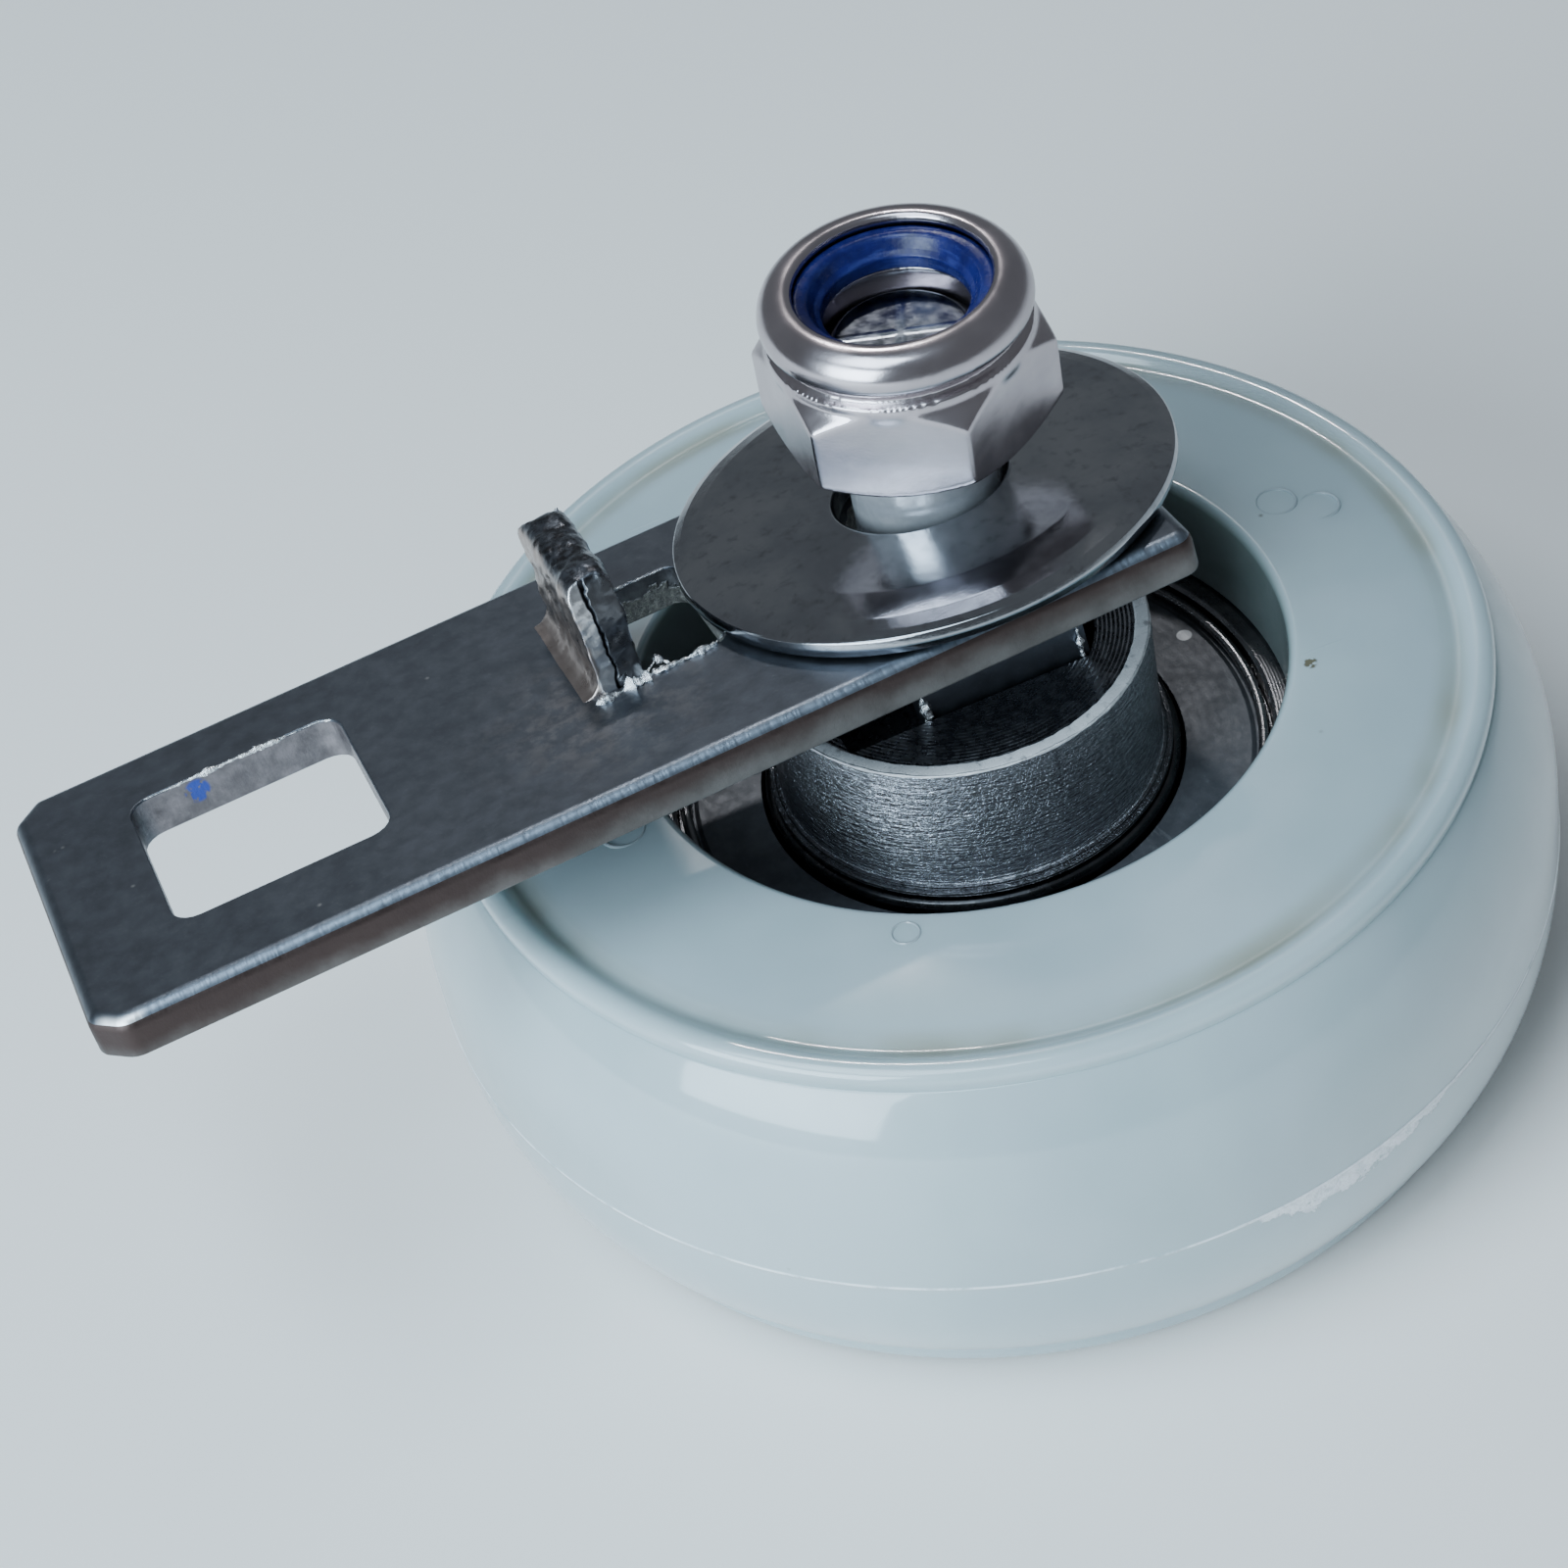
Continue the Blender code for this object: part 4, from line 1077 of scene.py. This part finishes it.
# ---- washer, nut and insert ----
def build_washer(stamped):
    """Stamped washer: flat middle, rolled outer band, crisp rim line and bulging wall."""
    hole, outer, low, high = 5.8, 17.0, 0.3, 2.3
    corners = [(hole, low, 0.15), (outer - 0.3, low, 0.15), (outer, low + 0.7, 0.5)]
    corners += [(outer - 0.12, high - 0.75, 0.25), (outer - 0.75, high - 0.48, 0.12)]
    corners += [(15.2, high - 0.22, 1.5), (12.6, high, 3.0), (hole + 0.1, high, 0.6)]
    corners += [(hole, high - 0.9, 0.3)]
    washer = revolve(rounded(corners, 7), 176)
    centre = LEVER_PLANE @ Matrix.Translation((*WASHER_CENTRE, 0.0))
    finish(washer, "large_washer_stamped", [stamped], "washer", centre,
           ["large_washer"], 50.0)


def build_nut(polished):
    """Hexagon with cone-cut corners, waisted round collar and rolled lip."""
    corner = NUT_FLATS / math.sqrt(3)
    base, top = NUT_BASE, NUT_TOP
    shoulder = base + NUT_HEX_HEIGHT
    cone = [(3.0, base), (8.2, base), (corner + 0.2, base + 1.25), (corner + 0.2, shoulder - 1.45)]
    cone += [(8.55, shoulder + 0.05), (3.0, shoulder + 0.05)]
    nut = prism(hexagon(NUT_FLATS), base - 1, shoulder + 1)
    combine(nut, revolve(cone, 192), "INTERSECT")
    roll = 1.95
    corners = [(4.0, shoulder - 2.0, 0.0), (7.2, shoulder - 2.0, 0.0), (8.58, shoulder - 0.3, 0.4)]
    corners += [(8.58, shoulder + 0.7, 0.6), (8.76, shoulder + 1.7, 0.6)]
    collar = rounded(corners, 8)[:-1] + arc(8.78 - roll, top - roll - 0.02, roll, -12, 90, 22)
    collar += arc(6.75, top - 0.47, 0.45, 90, 200, 8)
    collar += [(6.6, top - 1.0), (7.1, top - 1.1), (7.1, base + 7.55), (4.0, base + 7.55)]
    combine(nut, revolve(collar, 192), "UNION")
    bore = [(0.0, base - 1), (6.0, base - 1), (5.3, base + 0.4), (5.3, base + 8.0), (0.0, base + 8.0)]
    combine(nut, revolve(bore, 96))
    remesh(nut, FINE_VOXEL, 8)
    finish(nut, "lock_nut_polished", [polished], "nut", BOLT_AXIS, ["lock_nut"], 80.0)


def build_insert(blue):
    base, top = heights("nut_insert")[0], NUT_TOP
    corners = [(4.72, base, 0.2), (6.8, base, 0.1), (6.8, top - 1.4, 0.2), (6.3, top - 0.85, 0.4)]
    corners += [(5.5, top - 1.0, 0.5), (5.1, top - 1.8, 0.3), (4.72, top - 2.1, 0.3)]
    ring = revolve(rounded(corners, 5), 128)
    finish(ring, "insert_ring", [blue], "nut", BOLT_AXIS, ["nut_insert"], 50.0)


# ---- carried-over pieces ----
def dress_hidden(ground, caged):
    """Gives the bearing's inner pieces their finishes."""
    for name, node in frame["nodes"].items():
        if name.startswith("ball_"):
            node.data.materials.clear()
            node.data.materials.append(ground)
        elif name.startswith("cage_"):
            node.data.materials.clear()
            node.data.materials.append(caged)


# ---- stage ----
def build_floor():
    bm = bmesh.new()
    bmesh.ops.create_grid(bm, x_segments=1, y_segments=1, size=2000.0)
    floor = new_solid(bm)
    floor.name = "floor"
    floor.data.materials.append(floor_material())
    floor.data.transform(Matrix.Translation((0.0, 0.0, -0.02 * MM)) @ Matrix.Scale(MM, 4))


def add_light(name, place, target, size, power, colour=(1.0, 1.0, 1.0)):
    """A soft rectangular light, size (width, height) in metres, aimed at target."""
    light = bpy.data.lights.new(name, "AREA")
    light.shape = "RECTANGLE"
    light.size, light.size_y = size
    light.energy = power
    light.color = colour
    item = bpy.data.objects.new(name, light)
    item.location = place
    item.rotation_euler = (Vector(target) - Vector(place)).to_track_quat("-Z", "Y").to_euler()
    bpy.context.scene.collection.objects.link(item)
    return item


def build_lights():
    world = bpy.data.worlds.new("studio")
    world.use_nodes = True
    background = world.node_tree.nodes["Background"]
    background.inputs["Color"].default_value = (0.82, 0.91, 1.0, 1.0)
    background.inputs["Strength"].default_value = 0.20
    bpy.context.scene.world = world
    middle = (-0.01, 0.0, 0.03)
    add_light("window", (-0.57, -0.30, 0.32), middle, (0.46, 0.46), 8.2, (0.68, 0.87, 1.0))
    add_light("overhead", (-0.30, -0.12, 0.80), middle, (0.45, 0.45), 5.4, (0.68, 0.86, 1.0))
    lamp = add_light("lamp", (0.10, 0.48, 0.66), middle, (0.085, 0.02), 1.2)
    lamp.visible_diffuse = False


def build_camera():
    camera = bpy.data.cameras.new("camera")
    camera.lens = CAMERA_LENS
    camera.sensor_width = 36.0
    camera.clip_start = 0.01
    item = bpy.data.objects.new("camera", camera)
    tilt = math.radians(90.0 - CAMERA_ELEVATION)
    aim = Euler((tilt, 0.0, math.radians(CAMERA_AZIMUTH)), "XYZ").to_matrix()
    roll = Matrix.Rotation(math.radians(-CAMERA_ROLL), 3, "Z")
    item.matrix_world = Matrix.Translation(CAMERA_PLACE) @ (aim @ roll).to_4x4()
    bpy.context.scene.collection.objects.link(item)
    bpy.context.scene.camera = item


# ---- assembly ----
def main():
    ground = bearing_material("bearing_ground", (0.13, 0.13, 0.14), (0.22, 0.22, 0.23))
    # painted shade: a darker copy of the ground steel for the inner ring, which sits in a shaded gap by
    # the hub
    ground_painted_shade = bearing_material("bearing_ground_painted_shade", (0.05, 0.05, 0.055), (0.10, 0.10, 0.105))
    build_wheel(nylon_material())
    build_outer_ring(ground)
    build_inner_ring(ground_painted_shade)
    build_shields(shield_material(), ground)
    build_hub(hub_material())
    build_bolt(shank_material())
    build_retainer(retainer_material())
    skin = lever_material()
    build_lever_plate(skin, lever_side_material(), lever_cut_material(), torn_material())
    build_tab(tab_material())
    build_key(skin)
    build_burrs(burr_material())
    build_washer(washer_material())
    build_nut(fastener_material())
    build_insert(insert_material())
    dress_hidden(ground, cage_material())
    build_floor()
    build_lights()
    build_camera()


main()
